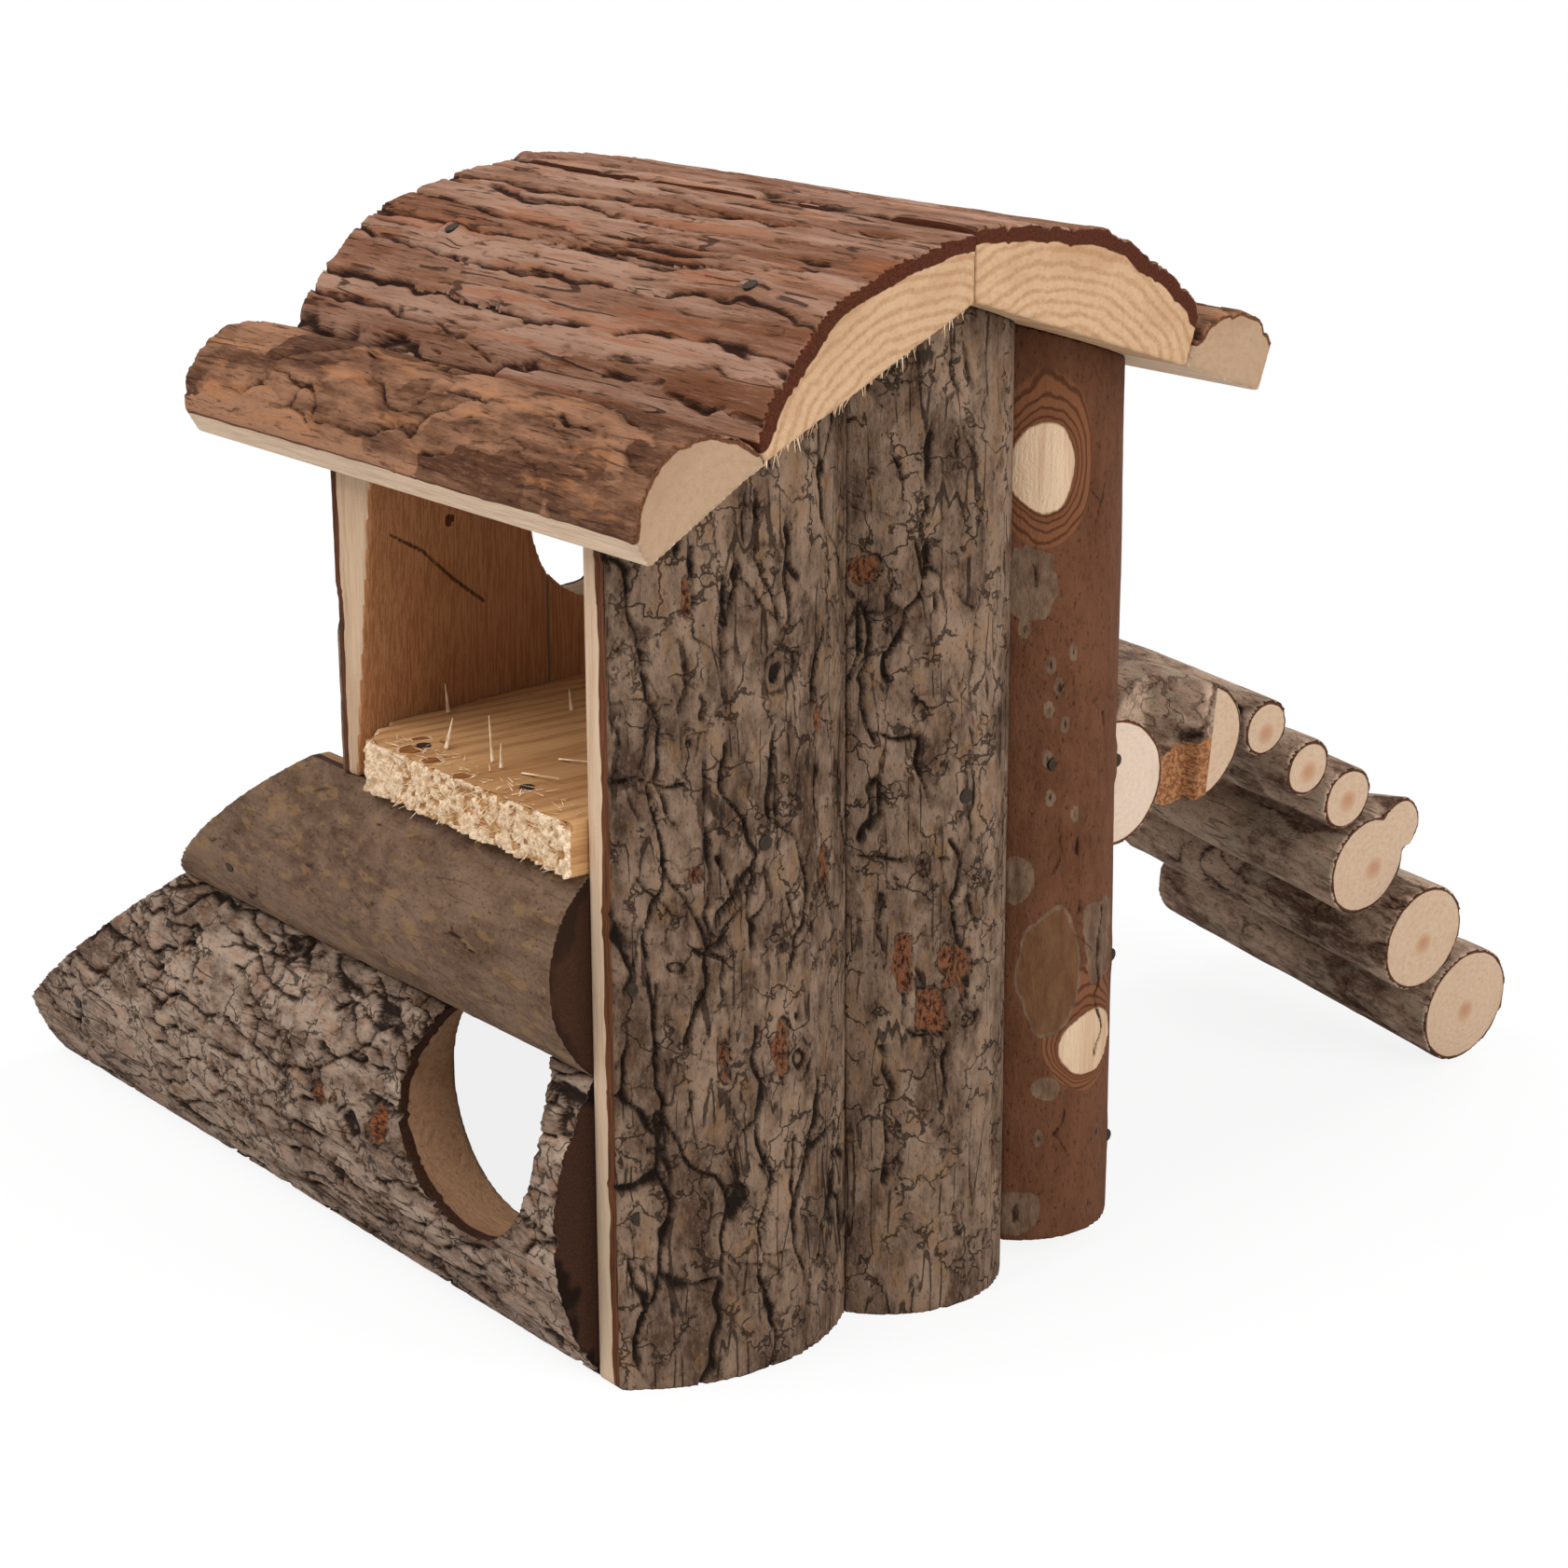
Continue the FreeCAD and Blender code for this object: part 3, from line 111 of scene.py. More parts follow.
SKY_STRENGTH = 0.42
LAMPS = (
    # name, place, size, watts
    ("key_lamp", (-0.25, -0.75, 1.15), 0.9, 13.0),
    ("fill_lamp", (1.25, 0.10, 0.75), 1.1, 17.0),
    ("rear_lamp", (-0.4, 1.2, 0.9), 0.8, 7.0),
)
LIT_POINT = Vector((-0.03, 0.0, 0.11))

for lamp_name, place, size, watts in LAMPS:
    aim = (LIT_POINT - Vector(place)).to_track_quat("-Z", "Y").to_euler()
    bpy.ops.object.light_add(type="AREA", location=place, rotation=aim)
    lamp = bpy.context.object
    lamp.name = lamp_name
    lamp.data.size = size
    lamp.data.energy = watts

sky = bpy.data.worlds.new("studio_sky")
bpy.context.scene.world = sky
sky.use_nodes = True
background = sky.node_tree.nodes["Background"]
background.inputs["Color"].default_value = (1, 1, 1, 1)
background.inputs["Strength"].default_value = SKY_STRENGTH


class Flow:
    """A number on its way through a material; sums written on it add Math nodes."""

    def __init__(self, finish, socket):
        self.finish = finish
        self.socket = socket

    def sum(self, operation, first, second):
        node = self.finish.node("ShaderNodeMath", {"operation": operation}, {0: first, 1: second})
        return Flow(self.finish, node.outputs[0])

    def __add__(self, other):
        return self.sum("ADD", self, other)

    __radd__ = __add__

    def __sub__(self, other):
        return self.sum("SUBTRACT", self, other)

    def __rsub__(self, other):
        return self.sum("SUBTRACT", other, self)

    def __mul__(self, other):
        return self.sum("MULTIPLY", self, other)

    __rmul__ = __mul__

    def __pow__(self, other):
        return self.sum("POWER", self, other)


class Finish:
    """The nodes of one material or of the sky."""

    def __init__(self, tree):
        self.tree = tree

    def node(self, kind, settings=None, inputs=None):
        """Adds a node of that type: its settings first, then its sockets' values or links."""
        node = self.tree.nodes.new(kind)
        for name, setting in (settings or {}).items():
            setattr(node, name, setting)
        for name, given in (inputs or {}).items():
            if isinstance(given, Flow):
                given = given.socket
            if isinstance(given, bpy.types.NodeSocket):
                self.tree.links.new(given, node.inputs[name])
            else:
                node.inputs[name].default_value = given
        return node

    def number(self, node, output=0):
        return Flow(self, node.outputs[output])

    def blend(self, share, first, second):
        """Colour between two colours."""
        return self.node("ShaderNodeMix", {"data_type": "RGBA"},
                         {0: share, 6: first, 7: second}).outputs[2]

    def tint(self, colour, other, value, low, high, strength=1.0):
        """The colour turned towards another one as the value goes from low to high."""
        share = self.ease(value, low, high)
        return self.blend(share * strength if strength < 1 else share, colour, other)

    def ease(self, value, low, high):
        """0 below low, 1 above high, and smooth between them."""
        return self.number(self.node("ShaderNodeMapRange", {"interpolation_type": "SMOOTHSTEP"},
                                     {"Value": value, "From Min": low, "From Max": high}))

    def read(self, name):
        """A vector that the mesh carries at each vertex."""
        return self.node("ShaderNodeAttribute", {"attribute_name": name}).outputs["Vector"]

    def place(self):
        """Where a spot is on its own object, in metres."""
        return self.node("ShaderNodeTexCoord").outputs["Object"]

    def parts(self, vector):
        split = self.node("ShaderNodeSeparateXYZ", {}, {0: vector})
        return [self.number(split, index) for index in range(3)]

    def stretch(self, vector, factors):
        return self.node("ShaderNodeVectorMath", {"operation": "MULTIPLY"},
                         {0: vector, 1: factors}).outputs[0]

    def noise(self, vector, scale, detail, roughness):
        return self.number(self.node("ShaderNodeTexNoise", {}, {
            "Vector": vector, "Scale": scale, "Detail": detail, "Roughness": roughness}))

    def web(self, vector, scale):
        """0 on the borders of random cells, and more inside them."""
        return self.number(self.node("ShaderNodeTexVoronoi", {"feature": "DISTANCE_TO_EDGE"},
                                     {"Vector": vector, "Scale": scale}))

    def sine(self, value):
        return self.number(self.node("ShaderNodeMath", {"operation": "SINE"}, {0: value}))

    def bump(self, height, distance, strength=1.0):
        return self.node("ShaderNodeBump", {}, {
            "Height": height, "Distance": distance, "Strength": strength}).outputs[0]

    def surface(self, colour, roughness, normal=None, metallic=0.0, gloss=0.5):
        inputs = {"Base Color": colour, "Roughness": roughness, "Metallic": metallic,
                  "Specular IOR Level": gloss}
        if normal is not None:
            inputs["Normal"] = normal
        shader = self.node("ShaderNodeBsdfPrincipled", {}, inputs)
        self.node("ShaderNodeOutputMaterial", {}, {"Surface": shader.outputs[0]})


def backdrop_share(finish):
    """1 for the rays that should see the white backdrop, 0 for those that gather light."""
    path = finish.node("ShaderNodeLightPath")
    names = ("Is Camera Ray", "Is Glossy Ray", "Is Transmission Ray")
    camera_ray, glossy_ray, clear_ray = [Flow(finish, path.outputs[name]) for name in names]
    return finish.ease(camera_ray + glossy_ray + clear_ray, 0.0, 1.0)


seen_strength = SKY_STRENGTH + backdrop_share(Finish(sky.node_tree)) * (1 - SKY_STRENGTH)
sky.node_tree.links.new(seen_strength.socket, background.inputs["Strength"])


# ---------------------------------------------------------------- studio floor
# A plain pale floor under the house. It keeps the soft shadow near the house and runs out to
# white for the camera farther away.

FLOOR_REACH = 6.0
SHADOW_MIDDLE = (-0.10, 0.05)
SHADOW_REACH = (0.12, 0.38)  # metres from there over which the floor runs out to white
NEAR_GLOW = 0.86


def paint(name):
    """A new material and its nodes, still empty."""
    material = bpy.data.materials.new(name)
    material.use_nodes = True
    material.node_tree.nodes.clear()
    return material, Finish(material.node_tree)


bpy.ops.object.select_all(action="DESELECT")
bpy.ops.mesh.primitive_plane_add(size=FLOOR_REACH)
floor = bpy.context.object
floor.name = "studio_floor"
floor_paint, floor_finish = paint("floor_paint")
floor_x, floor_y, _ = floor_finish.parts(floor_finish.place())
floor_x = floor_x - SHADOW_MIDDLE[0]
floor_y = floor_y - SHADOW_MIDDLE[1]
far_share = floor_finish.ease((floor_x * floor_x + floor_y * floor_y) ** 0.5, *SHADOW_REACH)
floor_shader = floor_finish.node("ShaderNodeBsdfPrincipled", {}, {
    "Base Color": (0.86, 0.86, 0.86, 1), "Roughness": 0.9})
floor_glow = floor_finish.node("ShaderNodeEmission", {}, {"Color": (1, 1, 1, 1), "Strength": 1.0})
floor_mix = floor_finish.node("ShaderNodeMixShader", {}, {
    0: backdrop_share(floor_finish) * (NEAR_GLOW + (1 - NEAR_GLOW) * far_share),
    1: floor_shader.outputs[0], 2: floor_glow.outputs[0]})
floor_finish.node("ShaderNodeOutputMaterial", {}, {"Surface": floor_mix.outputs[0]})
floor.data.materials.append(floor_paint)


# ---------------------------------------------------------------- tall wall
# Three upright half-log slabs of one tree, nailed to the ends of the ground walls and the floor.
# The first two keep their thick cracked bark. The rear one is peeled to its smooth red-brown inner
# bark and shows two sawn-off knots.

UPRIGHT = Vector((0, 0, 1))
OUTWARD = Vector((1, 0, 0))
BARK_FACING = 0.3        # a face that looks out this much belongs to the bark side
CARVE_REACH = 6.0        # mm below the bark down to which the wood gives way to carving
NAIL_CLEAR = (1.4, 4.0)  # mm round a nail over which the carving fades in
NO_SEAM = 9.0            # mm to the next crack where there is none
RAW_WOOD_GLOSS = 0.1     # bark and sawn wood hardly shine
RAW_WOOD_ROUGHNESS = 0.85
PORE_HALVES = (9.0, 1.0, 1.9)
SLIT_HALVES = (9.0, 0.45, 1.33)


def tone(levels):
    """A colour, from its 0 to 255 levels on a screen."""
    shares = [level / 255 for level in levels]
    linear = [c / 12.92 if c < 0.04045 else ((c + 0.055) / 1.055) ** 2.4 for c in shares]
    return (*linear, 1.0)


def scatter(cells, seed):
    """An even random number from 0 to 1 for each row of whole numbers."""
    with np.errstate(over="ignore"):
        keys = cells.astype(np.int64).astype(np.uint64)
        hashed = (keys[:, 0] * np.uint64(374761393) + keys[:, 1] * np.uint64(668265263)
                 + keys[:, 2] * np.uint64(2246822519) + np.uint64(seed * 3266489917 % 2**32))
        hashed &= np.uint64(0xFFFFFFFF)
        for shift, factor in ((15, 2246822519), (13, 3266489917)):
            hashed ^= hashed >> np.uint64(shift)
            hashed = (hashed * np.uint64(factor)) & np.uint64(0xFFFFFFFF)
        hashed ^= hashed >> np.uint64(16)
    return hashed / 2.0**32


def smooth(values, low, high):
    share = np.clip((values - low) / (high - low), 0, 1)
    return share * share * (3 - 2 * share)


def ripple(points, seed, octaves=3):
    """Soft random hills, from about -1 to 1, with one hill in each unit of length."""
    total = np.zeros(len(points))
    for octave in range(octaves):
        scaled = points * 2.0**octave + 17.3 * octave
        base = np.floor(scaled)
        part = scaled - base
        part = part * part * (3 - 2 * part)
        level = np.zeros(len(points))
        for corner in product((0, 1), repeat=3):
            weight = np.prod(np.where(corner, part, 1 - part), axis=1)
            level += weight * scatter(base + corner, seed + octave)
        total += (2 * level - 1) / 2.0**octave
    return total


def shaken(points, length, seed, octaves=2):
    """Three ripples as one sideways shift for each point."""
    return np.stack([ripple(points / length, seed + n, octaves) for n in range(3)], 1)


def plates(points, across, along, seed):
    """Bark broken into plates round scattered centres, for points in mm.

    Gives the distance to the nearest crack in mm, how far that crack runs crosswise, and a
    random number for the plate.
    """
    size = np.array([across, along, 2.5 * across])
    scaled = points / size
    cells = np.floor(scaled)[:, None] + np.array(list(product((-1, 0, 1), repeat=3)))
    rows = cells.reshape(-1, 3)
    centres = rows + 0.1 + 0.8 * np.stack([scatter(rows, seed + n) for n in range(3)], 1)
    ways = centres.reshape(cells.shape) - scaled[:, None]
    nearest = np.argpartition((ways**2).sum(2), 1, axis=1)[:, :2, None]
    first_way, second_way = np.take_along_axis(ways, nearest, 1).swapaxes(0, 1)
    own = scatter(np.take_along_axis(cells, nearest[:, :1], 1)[:, 0], seed + 7)
    between = second_way - first_way
    between /= np.linalg.norm(between, axis=1)[:, None] + 1e-9
    gap = (0.5 * (first_way + second_way) * between).sum(1)
    slant = between / size
    steep = np.linalg.norm(slant, axis=1) + 1e-9
    return np.abs(gap) / steep, np.abs(slant[:, 1]) / steep, own


def bark_relief(spots, bark, seed):
    """Depth below the log's round, distance to a crack and plate tone, for points in mm."""
    bent = (spots + shaken(spots, bark["bend_length"], seed + 20) * bark["bend"]
            + shaken(spots, 7.0, seed + 26) * bark["jag"])
    gap, cross, own = plates(bent, *bark["plate"], seed)
    faint = 1 - smooth(ripple(spots / bark["faint_length"], seed + 31, 2), *bark["faint"])
    seam = gap + bark["cross_fade"] * cross + 3.0 * faint
    small_gap, small_cross, small_own = plates(bent + 31.7, *bark["flake"], seed + 50)
    small_faint = 1 - smooth(ripple(spots / 12.0, seed + 60, 2), -0.2, 0.5)
    small_seam = small_gap + 0.25 + 0.7 * bark["cross_fade"] * small_cross + 1.5 * small_faint
    width, deep = bark["crack"]
    hills = smooth(ripple(spots / bark["wave_length"], seed + 40, 2), -1, 1)
    fibres = ripple(spots / np.array(bark["fibre"]), seed + 70, 2)
    plate_tone = 0.7 * own + 0.3 * small_own
    depth = (bark["wave"] * hills + bark["step"] * plate_tone
             + deep * (1 - smooth(seam, 0.15, width))
             + 0.4 * deep * (1 - smooth(small_seam, 0.3, 0.8 * width))
             + bark["grit"] * (1 + fibres))
    return SimpleNamespace(depth=depth, seam=np.minimum(seam, small_seam), tone=plate_tone)


def line_distance(points, corners):
    """Distance in mm from each point to the line through the corners."""
    least = np.full(len(points), NO_SEAM)
    for start, end in zip(corners, corners[1:]):
        start = np.array(start)
        way = np.array(end) - start
        share = np.clip((points - start) @ way / (way @ way), 0, 1)
        least = np.minimum(least, np.linalg.norm(points - start - share[:, None] * way, axis=1))
    return least


def bark_faces(source, along, out, middle, round_log):
    """Search tree of the faces of a CAD node that carry bark."""
    triangles = []
    for face in source.data.polygons:
        if round_log:
            spoke = face.center - middle
            spoke -= along * spoke.dot(along)
            facing = face.normal.dot(spoke.normalized()) if spoke.length > 0 else 0
            is_bark = facing > 0.6 and abs(face.normal.dot(along)) < 0.3
        else:
            is_bark = face.normal.dot(out) > BARK_FACING
        if is_bark:
            triangles.append(tuple(face.vertices))
    return BVHTree.FromPolygons([tuple(v.co) for v in source.data.vertices], triangles)


def choose(*things):
    """Selects these objects and nothing else."""
    bpy.ops.object.select_all(action="DESELECT")
    for thing in things:
        thing.select_set(True)
    bpy.context.view_layer.objects.active = things[0]


def even_copy(source, name, voxel):
    """A closed copy of a CAD node with a fine even mesh."""
    piece = source.copy()
    piece.data = source.data.copy()
    piece.parent = None
    for key in list(piece.keys()):
        del piece[key]
    piece.name = name
    piece.data.materials.clear()
    bpy.context.collection.objects.link(piece)
    choose(piece)
    bpy.ops.object.mode_set(mode="EDIT")
    bpy.ops.mesh.select_all(action="SELECT")
    bpy.ops.mesh.remove_doubles(threshold=1e-6)
    bpy.ops.object.mode_set(mode="OBJECT")
    even = piece.modifiers.new("even_mesh", "REMESH")
    even.mode = "VOXEL"
    even.voxel_size = voxel * MM
    bpy.ops.object.modifier_apply(modifier=even.name)
    return piece


def carved_copy(node, along, out, voxel, bark, seed, scars=(), round_log=False, drawn=()):
    """A closed copy of a CAD node with its bark carved, and what its material needs to know.

    along is the way of the log, out that of its bark, and voxel the size of the mesh in mm. Scars
    are carved over the bark, and drawn lines have corners with a y and z in mm. The mesh keeps,
    at each vertex: place in the log (across, along, out, in mm), marks (mm to a crack, plate
    tone, peeled), faces (bark, end grain, knot) and skin (mm under the bark, mm to a drawn line,
    patch).
    """
    source = frame["nodes"][node]
    middle = sum(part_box(node), Vector()) / 2
    bark_tree = bark_faces(source, along, out, middle, round_log)
    piece = even_copy(source, f"{node}_wood", voxel)

    mesh = piece.data
    count = len(mesh.vertices)
    places = np.zeros(count * 3)
    normals = np.zeros(count * 3)
    mesh.vertices.foreach_get("co", places)
    mesh.vertices.foreach_get("normal", normals)
    places = places.reshape(-1, 3)
    normals = normals.reshape(-1, 3)
    found = [bark_tree.find_nearest(p) for p in places]
    nearest = np.array([hit[0] for hit in found])
    facing = np.array([hit[1] for hit in found])
    skin = np.array([hit[3] for hit in found]) / MM

    axes = np.array([along.cross(out), along, out])
    home = np.array(middle)
    spots = (nearest - home) @ axes.T / MM
    surface = bark_relief(spots, bark, seed)
    surface.points = nearest / MM
    surface.peel = np.zeros(count)
    surface.knot = np.full(count, NO_SEAM)
    surface.patch = np.zeros(count)
    for scar in scars:
        scar(surface)
    clear = np.array([nail_tree.find(p)[2] for p in nearest]) / MM
    depth = np.maximum(surface.depth, 0) * smooth(clear, *NAIL_CLEAR)

    give = np.clip(1 - skin / CARVE_REACH, 0, 1)
    inward = -facing if round_log else -np.array(out)
    moved = places + inward * (depth * give)[:, None] * MM
    mesh.vertices.foreach_set("co", moved.ravel())
    mesh.update()

    pencil = np.full(count, NO_SEAM)
    for corners in drawn:
        pencil = np.minimum(pencil, line_distance(places[:, 1:] / MM, corners))
    is_bark = ((normals * facing).sum(1) > 0.6) & (skin < 0.5)
    is_end = np.abs(normals @ np.array(along)) > 0.6
    store = {
        "log": (places - home) @ axes.T / MM,
        "marks": np.stack([surface.seam, surface.tone, surface.peel], 1),
        "faces": np.stack([is_bark * 1.0, is_end * 1.0, surface.knot], 1),
        "skin": np.stack([skin, pencil, surface.patch * is_bark], 1),
    }
    for name, values in store.items():
        layer = mesh.attributes.new(name, "FLOAT_VECTOR", "POINT")
        layer.data.foreach_set("vector", values.astype(np.float32).ravel())
    mesh.shade_smooth()
    return piece


def hand_in(piece, material, body, node):
    """Gives a carved copy its material and puts it in the place of its CAD node."""
    piece.data.materials.append(material)
    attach(piece, body)
    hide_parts(node)


PATCH_TONES = (((112, 90, 72), (80, 58, 44)), ((100, 70, 46), (86, 56, 36)))


def bark_and_wood(name, bark_tones, wood_tones, rim=2.2, rings=2.4, ring_show=0.22,
                  pith=(0.0, -2.0), draw=0.42, hairs=(0.8, 0.8), spots=0.0, plate_show=0.5,
                  rough_rim=0.5, patch_tones=PATCH_TONES, heart_show=0.5, end_deep=0.0):
    """Material of a piece with bark on it: outer bark, the bark's own cut edge and sawn wood.

    bark_tones: crack (near black, partly the cracks' own colour and partly painted shade in them),
    dark plate, pale plate, peeled, spots. wood_tones: pale, deep, rim of the cut bark. rim is the
    bark's thickness in mm, rings the distance between growth rings, pith the heart's place across
    and out, draw how far the bark's marks are drawn out along the log, and hairs how dark its web
    of fine cracks and its long hair cracks are. heart_show and end_deep are the shares of a dark
    heart and of the deep tone in the end grain.
    """
    material, finish = paint(name)
    blend, tint, ease, noise, stretch = (
        finish.blend, finish.tint, finish.ease, finish.noise, finish.stretch)
    log = finish.read("log")
    across, along, out = finish.parts(log)
    seam, plate, peel = finish.parts(finish.read("marks"))
    bark_face, end_grain, knot = finish.parts(finish.read("faces"))
    skin, pencil, patch = finish.parts(finish.read("skin"))
    crack_and_shade_tone, dark_tone, pale_tone, peel_tone, spot_tone = map(tone, bark_tones)
    pale_wood, deep_wood, rim_tone = map(tone, wood_tones)

    # Outer bark: plates of two tones, mottled, gritty and spotted.
    drawn = stretch(log, (1.0, draw, 1.0))
    cloud = noise(drawn, 0.1, 3, 0.6)
    fleck = noise(drawn, 0.42, 4, 0.7)
    grit = noise(drawn, 1.4, 4, 0.75)
    share = plate * plate_show + cloud * 1.8 + fleck * 1.3 - (1.05 + plate_show * 0.5)
    bark = blend(ease(share, 0.0, 1.0), dark_tone, pale_tone)
    bark = tint(bark, pale_tone, grit, 0.53, 0.7, 0.45)
    bark = tint(bark, crack_and_shade_tone, grit, 0.47, 0.3, 0.75)
    spot = ease(noise(drawn, 0.28, 3, 0.6) + plate * 0.1, 0.6, 0.68)
    bark = blend(spot * spots, bark, spot_tone)
    torn = tint(peel_tone, rim_tone, fleck, 0.42, 0.62)
    torn = tint(torn, crack_and_shade_tone, grit, 0.56, 0.4, 0.9)
    bark = blend(peel, bark, torn)

    # Cracks: the carved ones, a web of fine ones and long hair cracks along the log. Their
    # near-black tone is partly their own colour and partly painted shade, deeper than the mesh
    # casts.
    shake = finish.node("ShaderNodeTexNoise", {}, {"Vector": log, "Scale": 0.3, "Detail": 3.0})
    bent = finish.node("ShaderNodeVectorMath", {"operation": "MULTIPLY_ADD"}, {
        0: shake.outputs["Color"], 1: (6.0, 6.0, 6.0), 2: stretch(log, (1.0, 0.75, 0.5))})
    web = ease(finish.web(bent.outputs[0], 0.15), 0.045, 0.012)
    wander = stretch(log, (0.2, 0.03 * draw + 0.012, 0.2))
    sway = noise(wander, 1.0, 1.5, 0.5) + (grit - 0.5) * 0.04 - 0.47
    long_hair = ease(sway * sway, 0.0003, 0.00004)
    hair_mask = ease(noise(log, 0.11, 2, 0.5), 0.42, 0.56)
    hair = web * hair_mask * hairs[0] + long_hair * (1 - hair_mask) * hairs[1]
    hair = ease(hair * (1 - peel), 0.0, 1.0)
    ragged = seam + (fleck - 0.5) * 0.8 + (grit - 0.5) * 0.7
    groove = ease(ragged, 0.75, 0.2)
    bark = blend(hair * 0.85, bark, crack_and_shade_tone)
    bark = tint(bark, dark_tone, ragged, 1.4, 0.4, 0.4)

    # Sawn wood: growth rings about the heart, fibres along the log, and the bark's cut edge.
    warp = noise(stretch(log, (1.0, 0.12, 1.0)), 0.09, 3, 0.5)
    side = across - pith[0]
    rise = out - pith[1]
    radius = (side * side + rise * rise) ** 0.5 + warp * 5.0
    ring = ease(finish.sine(radius * (2 * math.pi / rings)), -0.4, 1.0)
    fibre = noise(stretch(log, (1.0, 0.035, 1.0)), 2.2, 4, 0.7)
    fuzz = noise(log, 0.9, 5, 0.8)
    grain = ease(fibre, 0.3, 0.7) * (1 - end_grain) + ease(fuzz, 0.3, 0.7) * end_grain
    wood = tint(pale_wood, deep_wood, ring * ring_show + grain * 0.45, 0.0, 1.0)
    stain = noise(stretch(log, (1.0, 0.2, 1.0)), 0.05, 3, 0.5)
    wood = tint(wood, deep_wood, stain, 0.5, 0.75, 0.5)
    heart = ease(radius + fuzz * 3.0, 7.5, 4.0) * end_grain
    wood = blend(heart * heart_show, wood, peel_tone)
    wood = blend(end_grain * end_deep, wood, deep_wood)
    edge_wave = noise(stretch(log, (1.0, 0.5, 1.0)), 0.11, 2, 0.5)
    edge_skin = skin + (edge_wave - 0.5) * rim * rough_rim * 2.4 + (fleck - 0.5) * 0.3
    band = tint(rim_tone, crack_and_shade_tone, fibre, 0.35, 0.65, 0.6)
    band = tint(crack_and_shade_tone, band, edge_skin, 0.1, 0.6)
    sawn = tint(band, wood, edge_skin, rim - 0.15, rim + 0.1)

    # A sawn-off knot: fine rings of bark round a pale heart.
    knot_wave = finish.sine(knot * 52.0 + cloud * 16.0)
    outer_ring = blend(0.5, rim_tone, peel_tone)
    knot_ring = tint(rim_tone, outer_ring, knot + fleck * 0.2, 0.6, 0.9)
    knot_ring = tint(knot_ring, crack_and_shade_tone, knot_wave, 0.1, 1.0, 0.6)
    knot_wood = tint(wood, knot_ring, knot + (fleck - 0.5) * 0.06, 0.47, 0.52)
    bark = tint(bark, knot_wood, knot, 1.02, 0.98)

    # Patches, carved cracks and drawn lines lie over all of it. The carved cracks are filled
    # with the near-black crack tone, partly their own colour and partly painted shade.
    colour = tint(sawn, bark, bark_face, 0.35, 0.65)
    weave = ease(fleck * bark_face + grain * (1 - bark_face), 0.3, 0.7)
    for level, (pale, deep) in enumerate(patch_tones):
        patched = blend(weave, tone(deep), tone(pale))
        colour = tint(colour, patched, patch, level + 0.35, level + 0.6)
    colour = blend(groove * bark_face * 0.95, colour, crack_and_shade_tone)
    colour = tint(colour, crack_and_shade_tone, pencil + (fleck - 0.5) * 0.5, 0.6, 0.15, 0.85)
    height = (bark_face * (grit * 0.45 + fleck * 0.5 - hair * 0.6 - groove * 0.3)
              + (1 - bark_face) * (fibre * 0.25 + fuzz * 0.3 - ring * 0.08))
    normal = finish.bump(height, 1.0 * MM, 0.9)
    finish.surface(colour, RAW_WOOD_ROUGHNESS, normal, gloss=RAW_WOOD_GLOSS)
    return material


def oval(points, centre, halves):
    """1 on the rim of a three-way oval, 0 at its centre."""
    return np.linalg.norm((points - np.array(centre)) / np.array(halves), axis=1)


def mixed(share, first, second):
    return first + (second - first) * share


def placed(carve):
    """Lets a carving function take its places first, and the surface that it carves later."""
    def given(*places, **sizes):
        return lambda surface: carve(surface, surface.points, *places, **sizes)
    return given


@placed
def grown_knot(surface, points, centre, halves, deep=2.2):
    """A grown-over knot: a puckered hollow with dark folds round it."""
    ratio = oval(points, centre, halves) + 0.2 * ripple(points / 5.0, 3, 2)
    inside = 1 - smooth(ratio, 0.7, 1.3)
    folds = 0.5 + 0.5 * np.sin(ratio * 15 + 2.5 * ripple(points / 4.0, 5, 2))
    pit = 1 - smooth(ratio, 0.05, 0.7)
    surface.depth = mixed(inside, surface.depth, deep * (0.3 * folds + 0.7 * pit))
    seam = 0.1 + 1.0 * (1 - folds) + 1.3 * smooth(ratio, 0.35, 1.0)
    surface.seam = mixed(inside, surface.seam, seam)
    surface.tone = mixed(inside, surface.tone, 0.1 + 0.4 * folds)


@placed
def torn_flake(surface, points, centre, halves, deep=1.0):
    """A flake of bark torn off, down to the orange layer under it."""
    ratio = oval(points, centre, halves) + 0.55 * ripple(points / 4.5, 9, 3)
    inside = 1 - smooth(ratio, 0.8, 1.05)
    floor_depth = surface.depth * 0.4 + deep + 0.4 * ripple(points / 2.5, 12, 2)
    surface.depth = mixed(inside, surface.depth, floor_depth)
    edge = 0.2 + 5 * np.abs(ratio - 1)
    surface.seam = np.minimum(mixed(inside, surface.seam, surface.seam + 0.8), edge)
    surface.peel = np.maximum(surface.peel, inside)


@placed
def sawn_knot(surface, points, centre, halves, heart, heart_halves):
    """A side branch sawn off flush: flat, with its own bark as rings round a pale heart."""
    outer = oval(points, centre, halves) + 0.07 * ripple(points / 9.0, 14, 2)
    inner = oval(points, heart, heart_halves) + 0.05 * ripple(points / 6.0, 15, 2)
    ring_share = (inner - 1) / (np.maximum(inner - 1, 0) + np.maximum(1 - outer, 0) + 1e-6)
    level = np.where(inner < 1, 0.5 * inner, 0.5 + 0.5 * np.clip(ring_share, 0, 1))
    level = np.where((outer > 1) & (inner > 1), outer, level)
    inside = 1 - smooth(outer, 0.95, 1.05)
    surface.depth = mixed(inside, surface.depth, 0.5)
    surface.seam = mixed(inside, surface.seam, NO_SEAM)
    surface.knot = np.minimum(surface.knot, level)


@placed
def stained(surface, points, centre, halves, level=1.0, ragged=0.25):
    """A patch of another tone: 1 for the first patch tone, 2 for the second."""
    ratio = oval(points, centre, halves) + ragged * ripple(points / 5.0, 21, 3)
    surface.patch = np.maximum(surface.patch, level * (1 - smooth(ratio, 0.92, 1.08)))


